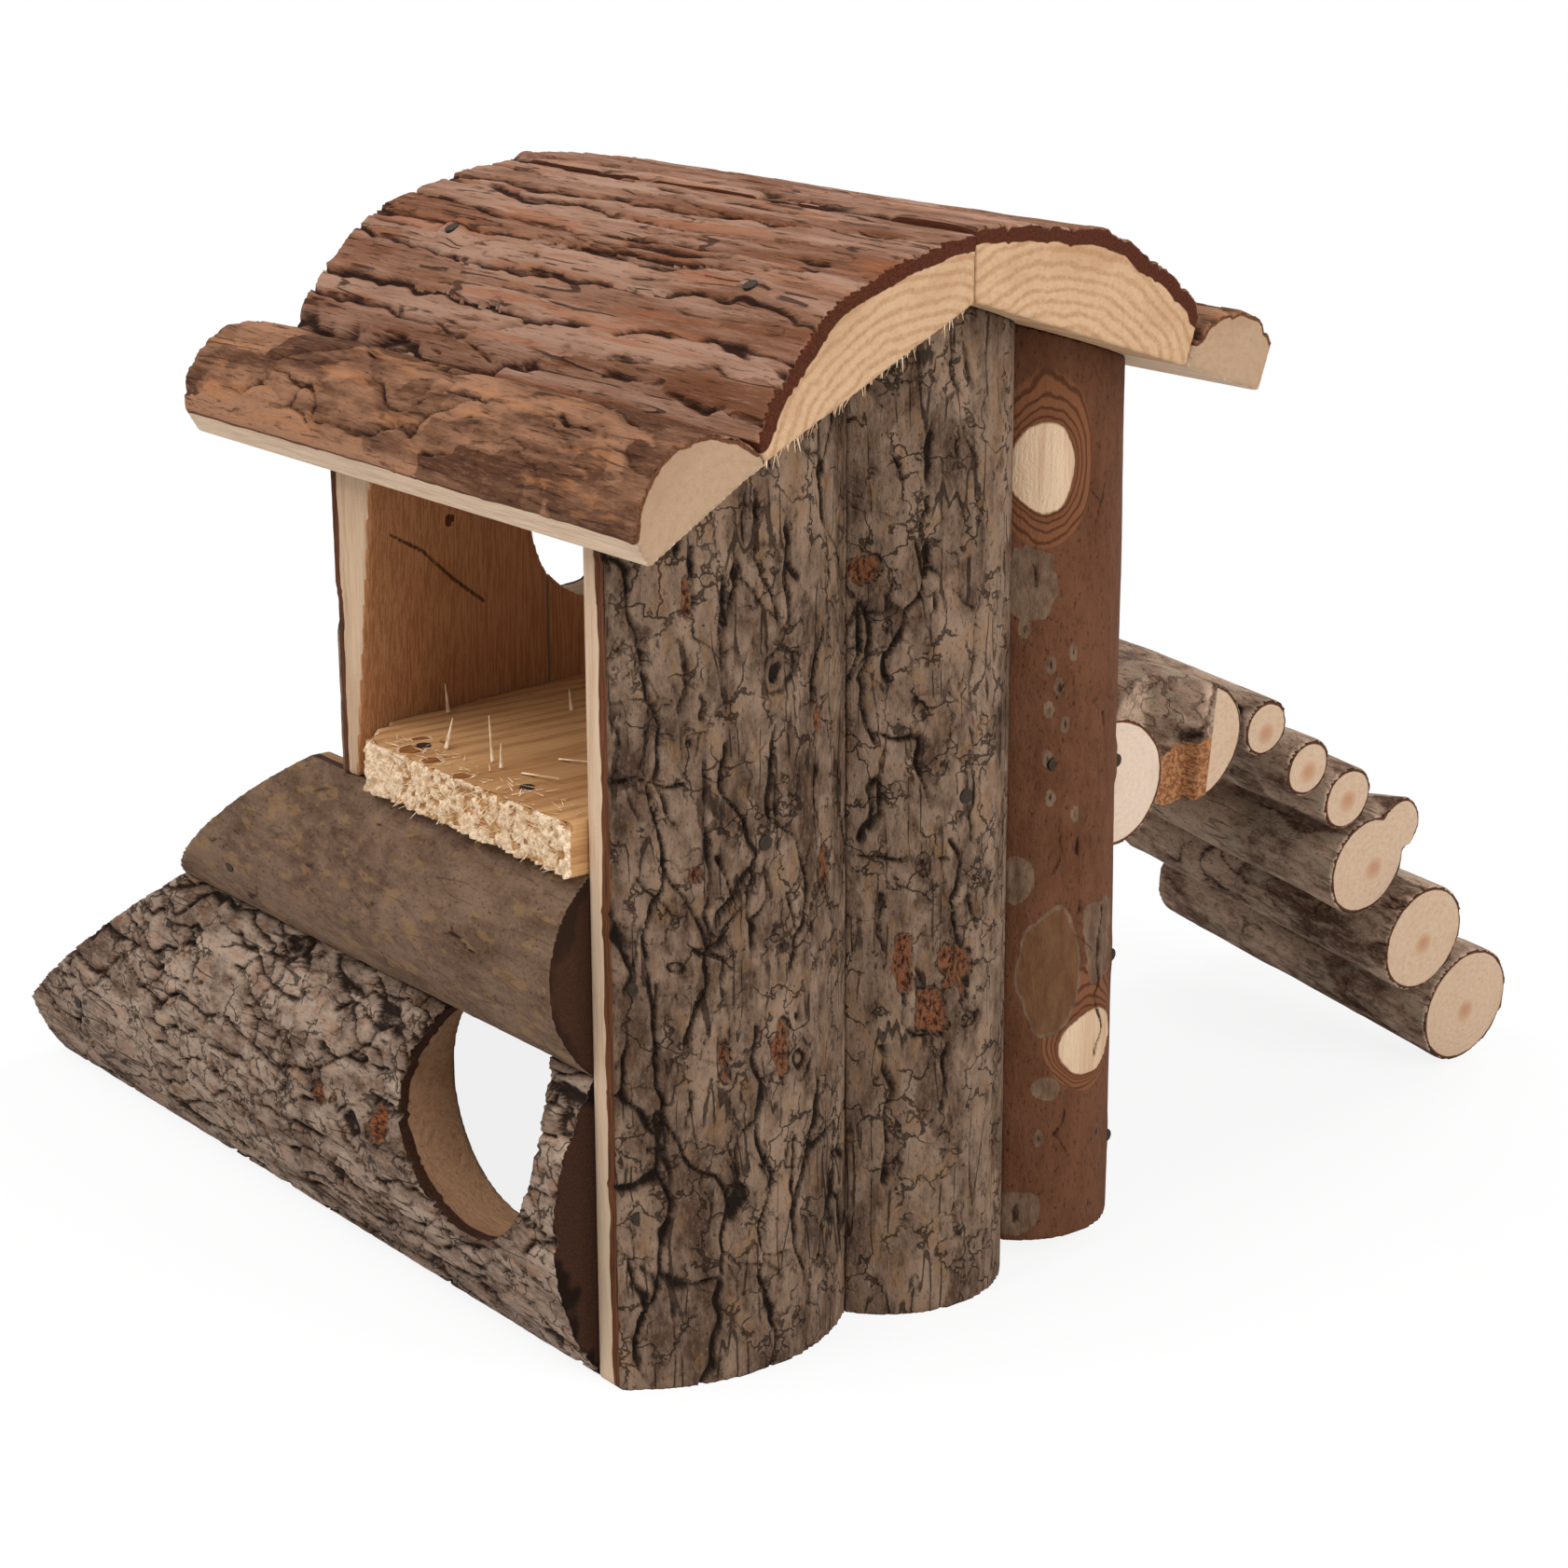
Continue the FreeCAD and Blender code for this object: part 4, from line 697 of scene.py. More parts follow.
@placed
def pores(surface, points, centres):
    """Oval pores in the first patch tone, each with a dark slit down its middle."""
    for centre in centres:
        ratio = oval(points, centre, PORE_HALVES)
        surface.patch = np.maximum(surface.patch, 1 - smooth(ratio, 0.85, 1.15))
        slit = oval(points, centre, SLIT_HALVES)
        surface.seam = np.minimum(surface.seam, 0.1 + 0.7 * slit)


@placed
def fissures(surface, points, lines, deep=1.1, wide=0.85):
    """Long cracks in an upright slab along lines given by their y and z in mm."""
    bent = points + shaken(points, 5.0, 33) * 0.9
    gap = np.full(len(bent), NO_SEAM)
    for corners in lines:
        gap = np.minimum(gap, line_distance(bent[:, 1:], corners))
    gap = gap + 0.2 * (1 + ripple(points / 4.0, 35, 2))
    surface.seam = np.minimum(surface.seam, gap)
    cut = surface.depth * 0.5 + deep * (1 - smooth(gap, 0.2, wide))
    surface.depth = np.maximum(surface.depth, cut)


@placed
def fading(surface, points, axis, low, high, share=1.0):
    """Cracks and steps fade out from one place to another along an axis of the CAD frame."""
    gone = share * smooth(points[:, axis], low, high)
    surface.seam = surface.seam + 6 * gone
    surface.depth = surface.depth * (1 - 0.6 * gone)


nail_points = []
for node_name, node_object in frame["nodes"].items():
    if node_name.endswith("_nails"):
        nail_points += [v.co.copy() for v in node_object.data.vertices]
nail_tree = KDTree(len(nail_points))
for number, point in enumerate(nail_points):
    nail_tree.insert(point, number)
nail_tree.balance()

# Of each bark: plate and flake give their size across and along it, crack is the width and
# depth of its cracks, and cross_fade how far those across it fade. bend and jag shake the cracks,
# faint leaves some out, and wave, step, fibre and grit roughen the rest. All lengths are in mm.
CRACKED_BARK = {"plate": (11.0, 40.0), "flake": (6.0, 9.0), "crack": (0.75, 1.0),
                "cross_fade": 0.45, "bend": 5.0, "bend_length": 24.0, "jag": 1.5,
                "faint": (-0.8, 0.1), "faint_length": 19.0, "wave": 0.2, "wave_length": 26.0,
                "step": 0.15, "fibre": (1.6, 4.0, 1.6), "grit": 0.16}
PEELED_BARK = dict(CRACKED_BARK, plate=(60.0, 90.0), flake=(30.0, 50.0), crack=(0.8, 0.0),
                   faint=(5.0, 6.0), wave=0.6, wave_length=40.0, step=0.1, grit=0.04)
FIRST_SLAB_CRACKS = (
    ((-56.2, 170.1), (-56.6, 164.0), (-57.1, 157.8)),
    ((-66.6, 166.3), (-67.0, 159.2), (-64.7, 146.7), (-61.8, 135.8), (-63.0, 125.0),
     (-60.4, 116.6)),
    ((-43.1, 178.4), (-42.6, 172.2), (-43.1, 166.1), (-38.2, 156.4), (-37.0, 149.9)),
    ((-58.8, 152.6), (-57.7, 143.6), (-59.0, 132.0), (-57.9, 126.5)),
    ((-54.8, 141.6), (-54.0, 133.4), (-54.5, 124.3), (-52.9, 103.8), (-54.8, 98.5),
     (-53.5, 93.6)),
    ((-38.9, 127.4), (-39.3, 118.2), (-39.0, 108.9)),
    ((-41.3, 106.5), (-40.6, 98.9), (-44.7, 94.1), (-44.2, 88.3)),
    ((-65.9, 105.9), (-61.0, 98.2)),
    ((-68.9, 124.4), (-65.7, 125.2), (-62.3, 124.1), (-57.5, 124.6)),
    ((-63.2, 84.3), (-63.6, 76.7), (-62.7, 60.4), (-62.2, 41.9)),
    ((-57.3, 62.7), (-58.2, 55.1)),
    ((-52.0, 109.3), (-49.2, 101.4), (-50.2, 97.8)),
    ((-35.3, 98.6), (-33.3, 90.4), (-35.4, 83.3)),
    ((-28.9, 94.9), (-28.1, 86.0)),
    ((-57.4, 91.3), (-51.2, 89.5), (-50.8, 81.0)),
    ((-33.5, 47.6), (-34.9, 38.2), (-34.2, 28.9)),
    ((-49.6, 49.9), (-48.2, 41.8)),
)
SECOND_SLAB_CRACKS = (
    ((-7.9, 121.4), (-8.2, 118.5), (-9.8, 112.7), (-9.1, 105.0)),
    ((-8.9, 124.2), (-3.0, 124.2)),
    ((-1.3, 171.7), (-1.7, 164.4), (-0.4, 156.9)),
    ((0.6, 153.1), (-0.7, 146.7)),
    ((-10.8, 151.4), (-9.8, 144.0), (-11.4, 135.5), (-8.9, 122.3)),
    ((8.8, 117.9), (8.4, 108.4), (10.5, 101.1)),
    ((4.5, 102.2), (9.2, 93.5), (10.7, 87.3), (12.3, 80.9)),
    ((-5.1, 83.6), (-4.3, 74.6), (-5.0, 63.7), (-2.6, 61.1), (2.4, 61.0)),
    ((-7.6, 59.7), (-7.2, 49.6), (-6.8, 39.4), (-7.2, 29.2)),
    ((3.9, 59.8), (3.5, 51.7), (2.5, 44.8)),
    ((-8.8, 116.6), (-8.2, 108.9), (-11.3, 102.9)),
    ((-8.4, 91.4), (-8.7, 83.5), (-7.7, 79.6)),
    ((-12.7, 100.6), (-10.0, 99.6), (-4.5, 99.2), (3.5, 98.5)),
)

# The first tone of each bark is its cracks', partly their own colour and partly painted shade.
GREY_BARK_TONES = ((16, 8, 4), (66, 48, 36), (130, 107, 89), (108, 68, 45), (120, 88, 56))
TALL_WOOD_TONES = ((206, 180, 154), (178, 146, 116), (110, 66, 42))

FIRST_SLAB_SCARS = (
    fissures(FIRST_SLAB_CRACKS),
    grown_knot((14.2, -37.0, 143.5), (30, 7.5, 8.5)),
    grown_knot((13.9, -31.5, 63.0), (30, 6.0, 8.0), 1.8),
    grown_knot((11.0, -57.0, 132.0), (30, 3.0, 5.0), 1.2),
    grown_knot((9.0, -60.0, 88.0), (30, 4.0, 3.5), 1.2),
    torn_flake((13.4, -50.7, 69.0), (30, 1.8, 5.0)),
    torn_flake((11.4, -26.2, 131.9), (30, 1.2, 3.0)),
    torn_flake((13.0, -37.5, 67.0), (30, 2.2, 7.0)),
    torn_flake((11.0, -24.0, 101.0), (30, 1.4, 5.0)),
    torn_flake((11.5, -56.0, 106.0), (30, 1.4, 1.6)),
    torn_flake((11.6, -57.0, 160.0), (30, 0.9, 4.0)),
)
SECOND_SLAB_SCARS = (
    fading(1, 10.0, 16.0),
    fading(2, 66.0, 56.0, 0.6),
    fissures(SECOND_SLAB_CRACKS),
    grown_knot((15.3, 9.5, 63.0), (30, 5.0, 3.5), 1.5),
    grown_knot((13.0, -1.0, 98.0), (30, 3.0, 5.0), 1.2),
    torn_flake((15.3, 6.2, 75.1), (30, 4.0, 6.0)),
    torn_flake((15.1, 0.8, 66.3), (30, 3.5, 5.0)),
    torn_flake((12.9, -4.6, 76.2), (30, 1.6, 6.0)),
    torn_flake((5.5, -10.0, 158.2), (30, 2.2, 2.8)),
    pores(((15.0, 18.0, 176.0), (14.8, 18.6, 168.0), (15.2, 13.0, 160.0), (14.0, 22.0, 158.0),
           (14.2, 21.5, 131.0), (15.0, 17.0, 121.0), (13.5, 23.0, 110.0), (15.1, 16.0, 44.0),
           (15.2, 6.0, 38.0), (14.6, 19.0, 30.0))),
)

RED_SLAB_CRACKS = (
    ((50.4, 76.4), (50.4, 64.0), (49.3, 57.4), (52.1, 49.6), (50.0, 43.8)),
    ((49.6, 119.7), (49.6, 116.2)),
    ((43.4, 93.6), (43.4, 90.6)),
    ((44.1, 79.6), (44.1, 76.6)),
    ((32.6, 152.0), (33.4, 147.5)),
    ((31.9, 13.1), (31.9, 9.1)),
)
RED_SLAB_SCARS = (
    stained((6.5, 32.5, 149.0), (30, 5.2, 7.0)),
    stained((10.8, 50.5, 71.0), (30, 6.0, 8.5), ragged=0.5),
    stained((6.3, 31.0, 85.4), (30, 2.6, 5.0)),
    stained((8.7, 36.5, 39.0), (30, 2.6, 2.4)),
    stained((6.0, 31.9, 11.1), (30, 4.0, 4.5)),
    stained((9.5, 37.6, 65.0), (30, 6.4, 14.0), 2.0, 0.08),
    sawn_knot((8.8, 35.2, 174.0), (30, 9.3, 18.5), (8.3, 34.6, 172.3), (30, 5.6, 9.4)),
    sawn_knot((11.0, 46.5, 50.8), (30, 10.5, 14.8), (11.3, 48.0, 47.5), (30, 8.6, 7.2)),
    pores(((10.6, 39.3, 118.6), (8.8, 35.4, 111.9), (9.4, 36.5, 103.1), (11.3, 42.1, 99.0),
           (8.7, 35.3, 27.8), (10.3, 50.7, 26.2), (11.0, 40.8, 133.8), (9.2, 36.1, 131.4),
           (10.0, 37.8, 126.8), (5.7, 31.5, 139.1), (9.2, 35.9, 122.0))),
    fissures(RED_SLAB_CRACKS, 0.8, 1.0),
)
RED_BARK_TONES = ((30, 14, 8), (82, 50, 32), (98, 63, 44), (120, 78, 52), (104, 92, 80))
TALL_REAR_TONES = ((200, 174, 146), (168, 134, 104), (102, 62, 40))

first_finish = bark_and_wood("tall_front_bark", GREY_BARK_TONES, TALL_WOOD_TONES, rim=3.2,
                             spots=0.35)
second_finish = bark_and_wood("tall_middle_bark", GREY_BARK_TONES, TALL_WOOD_TONES, rim=2.8,
                              spots=0.35)
red_finish = bark_and_wood("tall_rear_bark", RED_BARK_TONES, TALL_REAR_TONES, rim=2.0,
                           hairs=(0.0, 0.0), plate_show=0.0)
for seed, place, voxel, kind, finish, scars in (
        (11, "front", 0.58, CRACKED_BARK, first_finish, FIRST_SLAB_SCARS),
        (23, "middle", 0.58, CRACKED_BARK, second_finish, SECOND_SLAB_SCARS),
        (37, "rear", 0.65, PEELED_BARK, red_finish, RED_SLAB_SCARS)):
    node = f"tall_wall_{place}_slab"
    slab = carved_copy(node, UPRIGHT, OUTWARD, voxel, kind, seed, scars)
    hand_in(slab, finish, "house", node)


# ---------------------------------------------------------------- window wall
# Three upright slabs on the far side of the tower room, planed inside and with the bark outside.
# A round window is sawn across the joint of the first two.

def set_patch(piece, test, level=1.0):
    """Gives a patch tone to the vertices whose place in mm and normal pass the test."""
    for vertex, entry in zip(piece.data.vertices, piece.data.attributes["skin"].data):
        if test(vertex.co / MM, vertex.normal):
            entry.vector.z = level


def faces_room(spot, normal):
    """Whether a vertex of the window wall is on its planed inner side."""
    return normal.x > 0.6


WINDOW_WOOD_TONES = ((198, 170, 142), (158, 124, 94), (98, 58, 38))
# Tones of the planed inner faces, painted deeper as the tower room's shade, and of a small knot.
INNER_SHADE_AND_KNOT_TONES = (((186, 134, 92), (162, 110, 72)), ((96, 56, 34), (70, 38, 22)))
PENCIL_LINE = ((-63.0, 156.4), (-53.8, 151.3), (-45.2, 143.8), (-36.3, 137.2))
INNER_KNOT = Vector((-86.9, -46.4, 156.7))
INNER_KNOT_RADIUS = 1.4
window_finish = bark_and_wood("window_wall_bark", GREY_BARK_TONES, WINDOW_WOOD_TONES, rim=2.2,
                              rings=3.2, ring_show=0.15, pith=(4.0, -14.0),
                              patch_tones=INNER_SHADE_AND_KNOT_TONES)
for seed, place in ((41, "front"), (42, "middle"), (43, "rear")):
    node = f"window_wall_{place}_slab"
    slab = carved_copy(node, UPRIGHT, -OUTWARD, 0.8, CRACKED_BARK, seed, drawn=(PENCIL_LINE,))
    # The inner faces take the first of these tones as painted shade.
    set_patch(slab, faces_room)
    set_patch(slab, lambda spot, normal: faces_room(spot, normal)
              and (spot - INNER_KNOT).length < INNER_KNOT_RADIUS, 2.0)
    hand_in(slab, window_finish, "house", node)


# ---------------------------------------------------------------- front and rear ground wall
# Two lying slabs each, bark outwards, their far ends sawn on the slope of the ramp. The upper
# ones are smooth, the lower ones scaly with dark cracks.

LENGTHWISE = Vector((1, 0, 0))
# Near ends by the tall wall take the bark rim's dark tones: partly bark, partly painted shade.
NEAR_END = -5.5    # mm; the ends beyond it, beside the tall wall, show little but bark,
NEAR_SKIN = 0.2    # because they count as this share as deep under it
SMOOTH_BARK = dict(CRACKED_BARK, plate=(20.0, 40.0), flake=(9.0, 12.0), crack=(0.7, 0.3),
                   faint=(0.2, 0.8), wave=0.6, wave_length=30.0, step=0.12, grit=0.14)
SCALY_BARK = dict(CRACKED_BARK, plate=(6.5, 17.0), flake=(4.0, 6.0), crack=(0.8, 1.1),
                  bend=3.5, jag=1.8, faint=(-1.0, -0.2), step=0.14, wave=0.12)
GROUND_WOOD_TONES = ((158, 120, 90), (88, 56, 37), (62, 38, 26))
PINK_BARK_TONES = ((22, 10, 4), (84, 62, 48), (164, 142, 124), (134, 78, 44), (146, 94, 58))
MOTTLED_BARK_TONES = ((40, 24, 14), (84, 62, 47), (120, 96, 78), (126, 84, 50), (136, 106, 70))

lower_finish = bark_and_wood("front_lower_bark", PINK_BARK_TONES, GROUND_WOOD_TONES, rim=3.0,
                             spots=0.25, ring_show=0.0, heart_show=0.0)
upper_finish = bark_and_wood("front_upper_bark", MOTTLED_BARK_TONES, GROUND_WOOD_TONES, rim=2.4,
                             hairs=(0.2, 0.35), spots=0.5, ring_show=0.0, draw=0.5,
                             plate_show=0.2, heart_show=0.0)
for seed, wall, part, out, kind, finish, scars in (
        (51, "front", "lower", Vector((0, -1, 0)), SCALY_BARK, lower_finish,
         (grown_knot((-80.0, -79.0, 31.0), (12, 30, 9), 1.8),
          torn_flake((-70.0, -79.0, 36.0), (5, 30, 6)),
          torn_flake((-92.0, -79.0, 35.0), (5, 30, 3)))),
        (52, "front", "upper", Vector((0, -1, 0)), SMOOTH_BARK, upper_finish, ()),
        (53, "rear", "lower", Vector((0, 1, 0)), SCALY_BARK, lower_finish, ()),
        (54, "rear", "upper", Vector((0, 1, 0)), SMOOTH_BARK, upper_finish, ())):
    node = f"{wall}_wall_{part}_slab"
    slab = carved_copy(node, LENGTHWISE, out, 0.8, kind, seed, scars)
    # Near ends by the tall wall take the bark rim's dark tones: partly bark, partly painted shade.
    for vertex, entry in zip(slab.data.vertices, slab.data.attributes["skin"].data):
        if vertex.co.x / MM > NEAR_END:
            entry.vector.x *= NEAR_SKIN
    hand_in(slab, finish, "house", node)


# ---------------------------------------------------------------- ramp
# Three slabs laid across between the two walls, bark up, as a climb to the tower's landing.

def back_of(node, along):
    """Way of the bark: away from the node's largest flat face."""
    areas = {}
    for face in frame["nodes"][node].data.polygons:
        if abs(face.normal.dot(along)) < 0.5:
            key = tuple(round(c, 2) for c in face.normal)
            areas[key] = areas.get(key, 0) + face.area
    flat = -Vector(max(areas, key=areas.get))
    return (flat - along * flat.dot(along)).normalized()


CROSSWISE = Vector((0, 1, 0))
for seed, place in ((61, "upper"), (62, "middle"), (63, "lower")):
    node = f"ramp_{place}_slab"
    slab = carved_copy(node, CROSSWISE, back_of(node, CROSSWISE), 0.95, CRACKED_BARK, seed)
    hand_in(slab, lower_finish, "house", node)


# ---------------------------------------------------------------- tower floor
# A rough sawn board with its grain running in from the front. That end is torn off, so it is
# furry with pale fibres, and splinters of it lie on the board.

PLANK_WOOD_TONES = ((196, 152, 104), (146, 98, 58), (130, 84, 50))
TORN_TONES = (((236, 212, 182), (198, 164, 128)), ((150, 96, 54), (112, 66, 36)))
BOARD_SURFACE = dict(CRACKED_BARK, crack=(0.5, 0.0), faint=(5.0, 6.0), wave=0.0, step=0.0,
                     grit=0.22, fibre=(1.1, 14.0, 1.1))
TORN_SPOTS = ((Vector((-66, -70, 116)), 3.0), (Vector((-57, -71, 116)), 2.4),
              (Vector((-72, -64, 116)), 2.0), (Vector((-44, -72, 116)), 2.2))
TEAR_START = -73.4      # mm, where the torn front end begins
TEAR_LENGTH = 1.2       # mm over which it sets in
PALE_START = -73.6      # mm, where it turns pale
CORNER_X = -68.0        # mm; the corner beyond it is torn too, and pale a little farther
CORNER_TEAR = -62.5
CORNER_PALE = -62.0
FRONT_FACING = -0.3     # a normal with less y than this looks to the front
TATTER_SIZE = 1.7       # mm
TATTER_DEPTH = 1.1      # mm
TATTER_SAG = 0.35       # share of it by which the top of the end goes up and down
BOARD_MIDDLE = 110.0    # mm, half way up the board
plank_finish = bark_and_wood("plank_wood", GREY_BARK_TONES, PLANK_WOOD_TONES, rim=0.1, rings=3.4,
                             ring_show=0.3, pith=(8.0, -20.0), patch_tones=TORN_TONES)
plank = carved_copy("tower_floor_plank", CROSSWISE, UPRIGHT, 0.6, BOARD_SURFACE, 71)
for entry in plank.data.attributes["faces"].data:
    entry.vector.x = 0
for entry in plank.data.attributes["skin"].data:
    entry.vector.x = NO_SEAM
tatter = np.array([v.co for v in plank.data.vertices]) / MM
torn = ripple(tatter / TATTER_SIZE, 72, 3)
for vertex, ragged in zip(plank.data.vertices, torn):
    x, y, z = (level / MM for level in vertex.co)
    near_front = max(0.0, min(1.0, (TEAR_START - y) / TEAR_LENGTH))
    near_corner = x < CORNER_X and y < CORNER_TEAR and vertex.normal.y < FRONT_FACING
    if near_front > 0 or near_corner:
        vertex.co.y += (TATTER_DEPTH + ragged) * max(near_front, 1.0 * near_corner) * MM
        if z > BOARD_MIDDLE:
            vertex.co.z -= TATTER_SAG * ragged * near_front * MM
set_patch(plank, lambda spot, normal: spot.y < PALE_START or (
    spot.x < CORNER_X and spot.y < CORNER_PALE and normal.y < FRONT_FACING))
for centre, reach in TORN_SPOTS:
    set_patch(plank, lambda spot, normal: (spot - centre).length < reach, 2.0)
hand_in(plank, plank_finish, "house", "tower_floor_plank")

splinter_paint, splinter_finish = paint("splinter_wood")
streak = splinter_finish.noise(splinter_finish.place(), 350.0, 3, 0.6)
splinter_finish.surface(splinter_finish.tint(
    tone((240, 218, 188)), tone((206, 172, 132)), streak, 0.35, 0.65), 0.9)


def splinters(name, strands):
    """Thin fibres of torn wood as one piece. A strand is foot, tip and half width in mm."""
    bpy.ops.object.select_all(action="DESELECT")
    bpy.ops.mesh.primitive_cone_add(vertices=4, radius1=1, radius2=0.25, depth=1,
                                    location=(0, 0, 0))
    pattern = bpy.context.object
    pattern.data.transform(Matrix.Translation((0, 0, 0.5)))
    copies = []
    for foot, tip, half in strands:
        way = Vector(tip) - Vector(foot)
        lean = way.to_track_quat("Z", "Y").to_matrix().to_4x4()
        size = Matrix.Diagonal((half * MM, half * 0.6 * MM, way.length * MM, 1))
        strand = pattern.copy()
        strand.data = pattern.data.copy()
        strand.data.transform(Matrix.Translation(Vector(foot) * MM) @ lean @ size)
        bpy.context.collection.objects.link(strand)
        copies.append(strand)
    choose(pattern)
    bpy.ops.object.delete()
    choose(*copies)
    bpy.ops.object.join()
    bundle = bpy.context.object
    bundle.name = name
    bundle.data.materials.clear()
    bundle.data.materials.append(splinter_paint)
    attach(bundle, "house")


FRONT_FIBRES = 420
FALLEN_FIBRES = 90
FIBRE_FOOT_Y = -73.2         # mm
BENT_EDGE = (-71.0, 1.4)     # mm; beyond this x the torn edge runs back at this slope
FIBRE_LOWEST = 105.4         # mm
BOARD_TOP = 116.0            # mm
LOOSE_SPLINTERS = (
    ((-67.2, -62.2, 116.1), (-60.0, -65.2, 119.5)),
    ((-61.6, -64.6, 116.1), (-63.6, -61.5, 121.5)),
    ((-47.6, -62.5, 116.1), (-51.6, -60.5, 124.5)),
    ((-43.0, -63.5, 116.1), (-44.6, -62.4, 120.6)),
    ((-84.2, -49.5, 116.1), (-87.4, -48.0, 121.5)),
    ((-69.2, -28.4, 116.1), (-72.0, -27.0, 120.0)),
    ((-40.9, -51.0, 116.1), (-32.5, -47.8, 116.8)),
    ((-37.4, -62.3, 116.1), (-27.5, -60.2, 116.9)),
)
draws = np.random.default_rng(7)
strands = []
for _ in range(FRONT_FIBRES):
    along_front, up, lean_x, lean_z, length, half = draws.random(6)
    foot = Vector((-78.0 + 73.0 * along_front, FIBRE_FOOT_Y, FIBRE_LOWEST + 10.4 * up))
    if foot.x < BENT_EDGE[0]:
        foot.y = FIBRE_FOOT_Y + (BENT_EDGE[0] - foot.x) * BENT_EDGE[1]
    way = Vector((1.6 * lean_x - 0.8, -1.0, 1.6 * lean_z - 0.8))
    strands.append((foot, foot + way * (0.8 + 2.0 * length), 0.10 + 0.14 * half))
for _ in range(FALLEN_FIBRES):
    place_x, place_y, turn, length, half = draws.random(5)
    foot = Vector((-76.0 + 70.0 * place_x, -72.5 + 7.0 * place_y, BOARD_TOP))
    way = Vector((math.cos(turn * 6.3), math.sin(turn * 6.3), 0.25))
    strands.append((foot, foot + way * (0.8 + 2.2 * length), 0.08 + 0.10 * half))
strands += [(foot, tip, 0.4) for foot, tip in LOOSE_SPLINTERS]
splinters("plank_splinters", strands)


# ---------------------------------------------------------------- roof
# Four slabs along the ridge, bark up. The two upper ones are mitred at the ridge. Their bark is
# drawn out in long fibrous strips, and that of the front eave is scaly and orange.

ROOF_BARK = dict(CRACKED_BARK, plate=(7.5, 110.0), flake=(3.6, 40.0), crack=(0.95, 1.2),
                 cross_fade=1.6, bend=3.0, bend_length=34.0, jag=0.9, faint=(-1.2, -0.2),
                 faint_length=26.0, wave=0.3, wave_length=22.0, step=0.75,
                 fibre=(1.6, 22.0, 1.6), grit=0.25)
EAVE_BARK = dict(ROOF_BARK, plate=(11.0, 26.0), flake=(5.0, 11.0), crack=(1.1, 1.1),
                 cross_fade=1.0, bend=5.0, jag=1.6, wave=0.8, wave_length=15.0, step=0.7,
                 fibre=(1.4, 9.0, 1.4), grit=0.35)
ROOF_BARK_TONES = ((30, 12, 6), (110, 69, 47), (159, 124, 104), (158, 100, 66), (144, 86, 54))
EAVE_BARK_TONES = ((30, 12, 6), (80, 50, 34), (152, 110, 83), (160, 98, 60), (168, 114, 76))
ROOF_WOOD_TONES = ((192, 159, 126), (160, 120, 84), (86, 44, 27))
EAVE_WOOD_TONES = ((216, 190, 164), (150, 119, 91), (112, 70, 46))
roof_finish = bark_and_wood("roof_bark", ROOF_BARK_TONES, ROOF_WOOD_TONES, rim=3.8, rings=2.6,
                            ring_show=0.35, pith=(0.0, -34.0), draw=0.07, hairs=(0.0, 0.8),
                            spots=0.5, plate_show=0.8, rough_rim=0.2)
eave_finish = bark_and_wood("eave_bark", EAVE_BARK_TONES, EAVE_WOOD_TONES, rim=1.2, rings=3.0,
                            ring_show=0.1, pith=(0.0, -12.0), draw=0.14, hairs=(0.2, 0.6),
                            spots=0.45, plate_show=1.2, heart_show=0.2, end_deep=0.75)
for seed, node, kind, finish in (
        (81, "roof_front_slab", ROOF_BARK, roof_finish),
        (82, "roof_rear_slab", ROOF_BARK, roof_finish),
        (83, "front_eave_slab", EAVE_BARK, eave_finish),
        (84, "rear_eave_slab", ROOF_BARK, eave_finish)):
    slab = carved_copy(node, LENGTHWISE, back_of(node, LENGTHWISE), 0.75, kind, seed)
    hand_in(slab, finish, "house", node)

# Fibres hang from the sawn gable end of the front slab, and one long splinter from the rear one.
GABLE_FIBRES = 130
GABLE_X = 24.6           # mm, just inside the sawn end
FEET_AT_RIDGE = 211.7    # mm, height of the fibres' feet there, just inside the wood
ROOF_SLOPE = math.tan(math.radians(25.8))
strands = []
for _ in range(GABLE_FIBRES):
    share, drop, lean, half = draws.random(4)
    y = -49.0 + 48.0 * share
    foot = Vector((GABLE_X, y, FEET_AT_RIDGE + y * ROOF_SLOPE))
    way = Vector((0.3 * lean - 0.2, 1.2 * lean - 0.9, -1.0))
    strands.append((foot, foot + way * (1.2 + 3.0 * drop ** 3), 0.15 + 0.25 * half))
strands.append(((24.4, 11.0, 219.0), (24.9, 14.4, 206.4), 0.9))
splinters("gable_splinters", strands)


# ---------------------------------------------------------------- bridge
# The sill log and seven round branches with thin bark, strung on two wires. The end of the
# knotted log is partly sawn and partly split.

ROD_BARK = dict(CRACKED_BARK, plate=(16.0, 50.0), flake=(6.0, 14.0), crack=(0.7, 0.3),
                faint=(0.1, 0.7), wave=0.7, wave_length=24.0, step=0.12, grit=0.06)
ROD_BARK_TONES = ((24, 14, 9), (82, 56, 41), (186, 158, 136), (160, 98, 58), (164, 152, 128))
ROD_WOOD_TONES = ((192, 166, 141), (166, 130, 100), (90, 54, 36))
SILL_WOOD_TONES = ((208, 188, 170), (188, 160, 134), (104, 60, 38))
TORN_END_TONES = (((164, 116, 78), (116, 72, 46)), ((96, 56, 34), (70, 38, 22)))
THIN_BARK = dict(rim=1.1, rings=2.0, pith=(0.0, 0.0), rough_rim=0.3)
rod_finish = bark_and_wood("branch_bark", ROD_BARK_TONES, ROD_WOOD_TONES, ring_show=0.05,
                           hairs=(0.3, 0.5), spots=0.45, plate_show=0.8, heart_show=0.6,
                           **THIN_BARK)
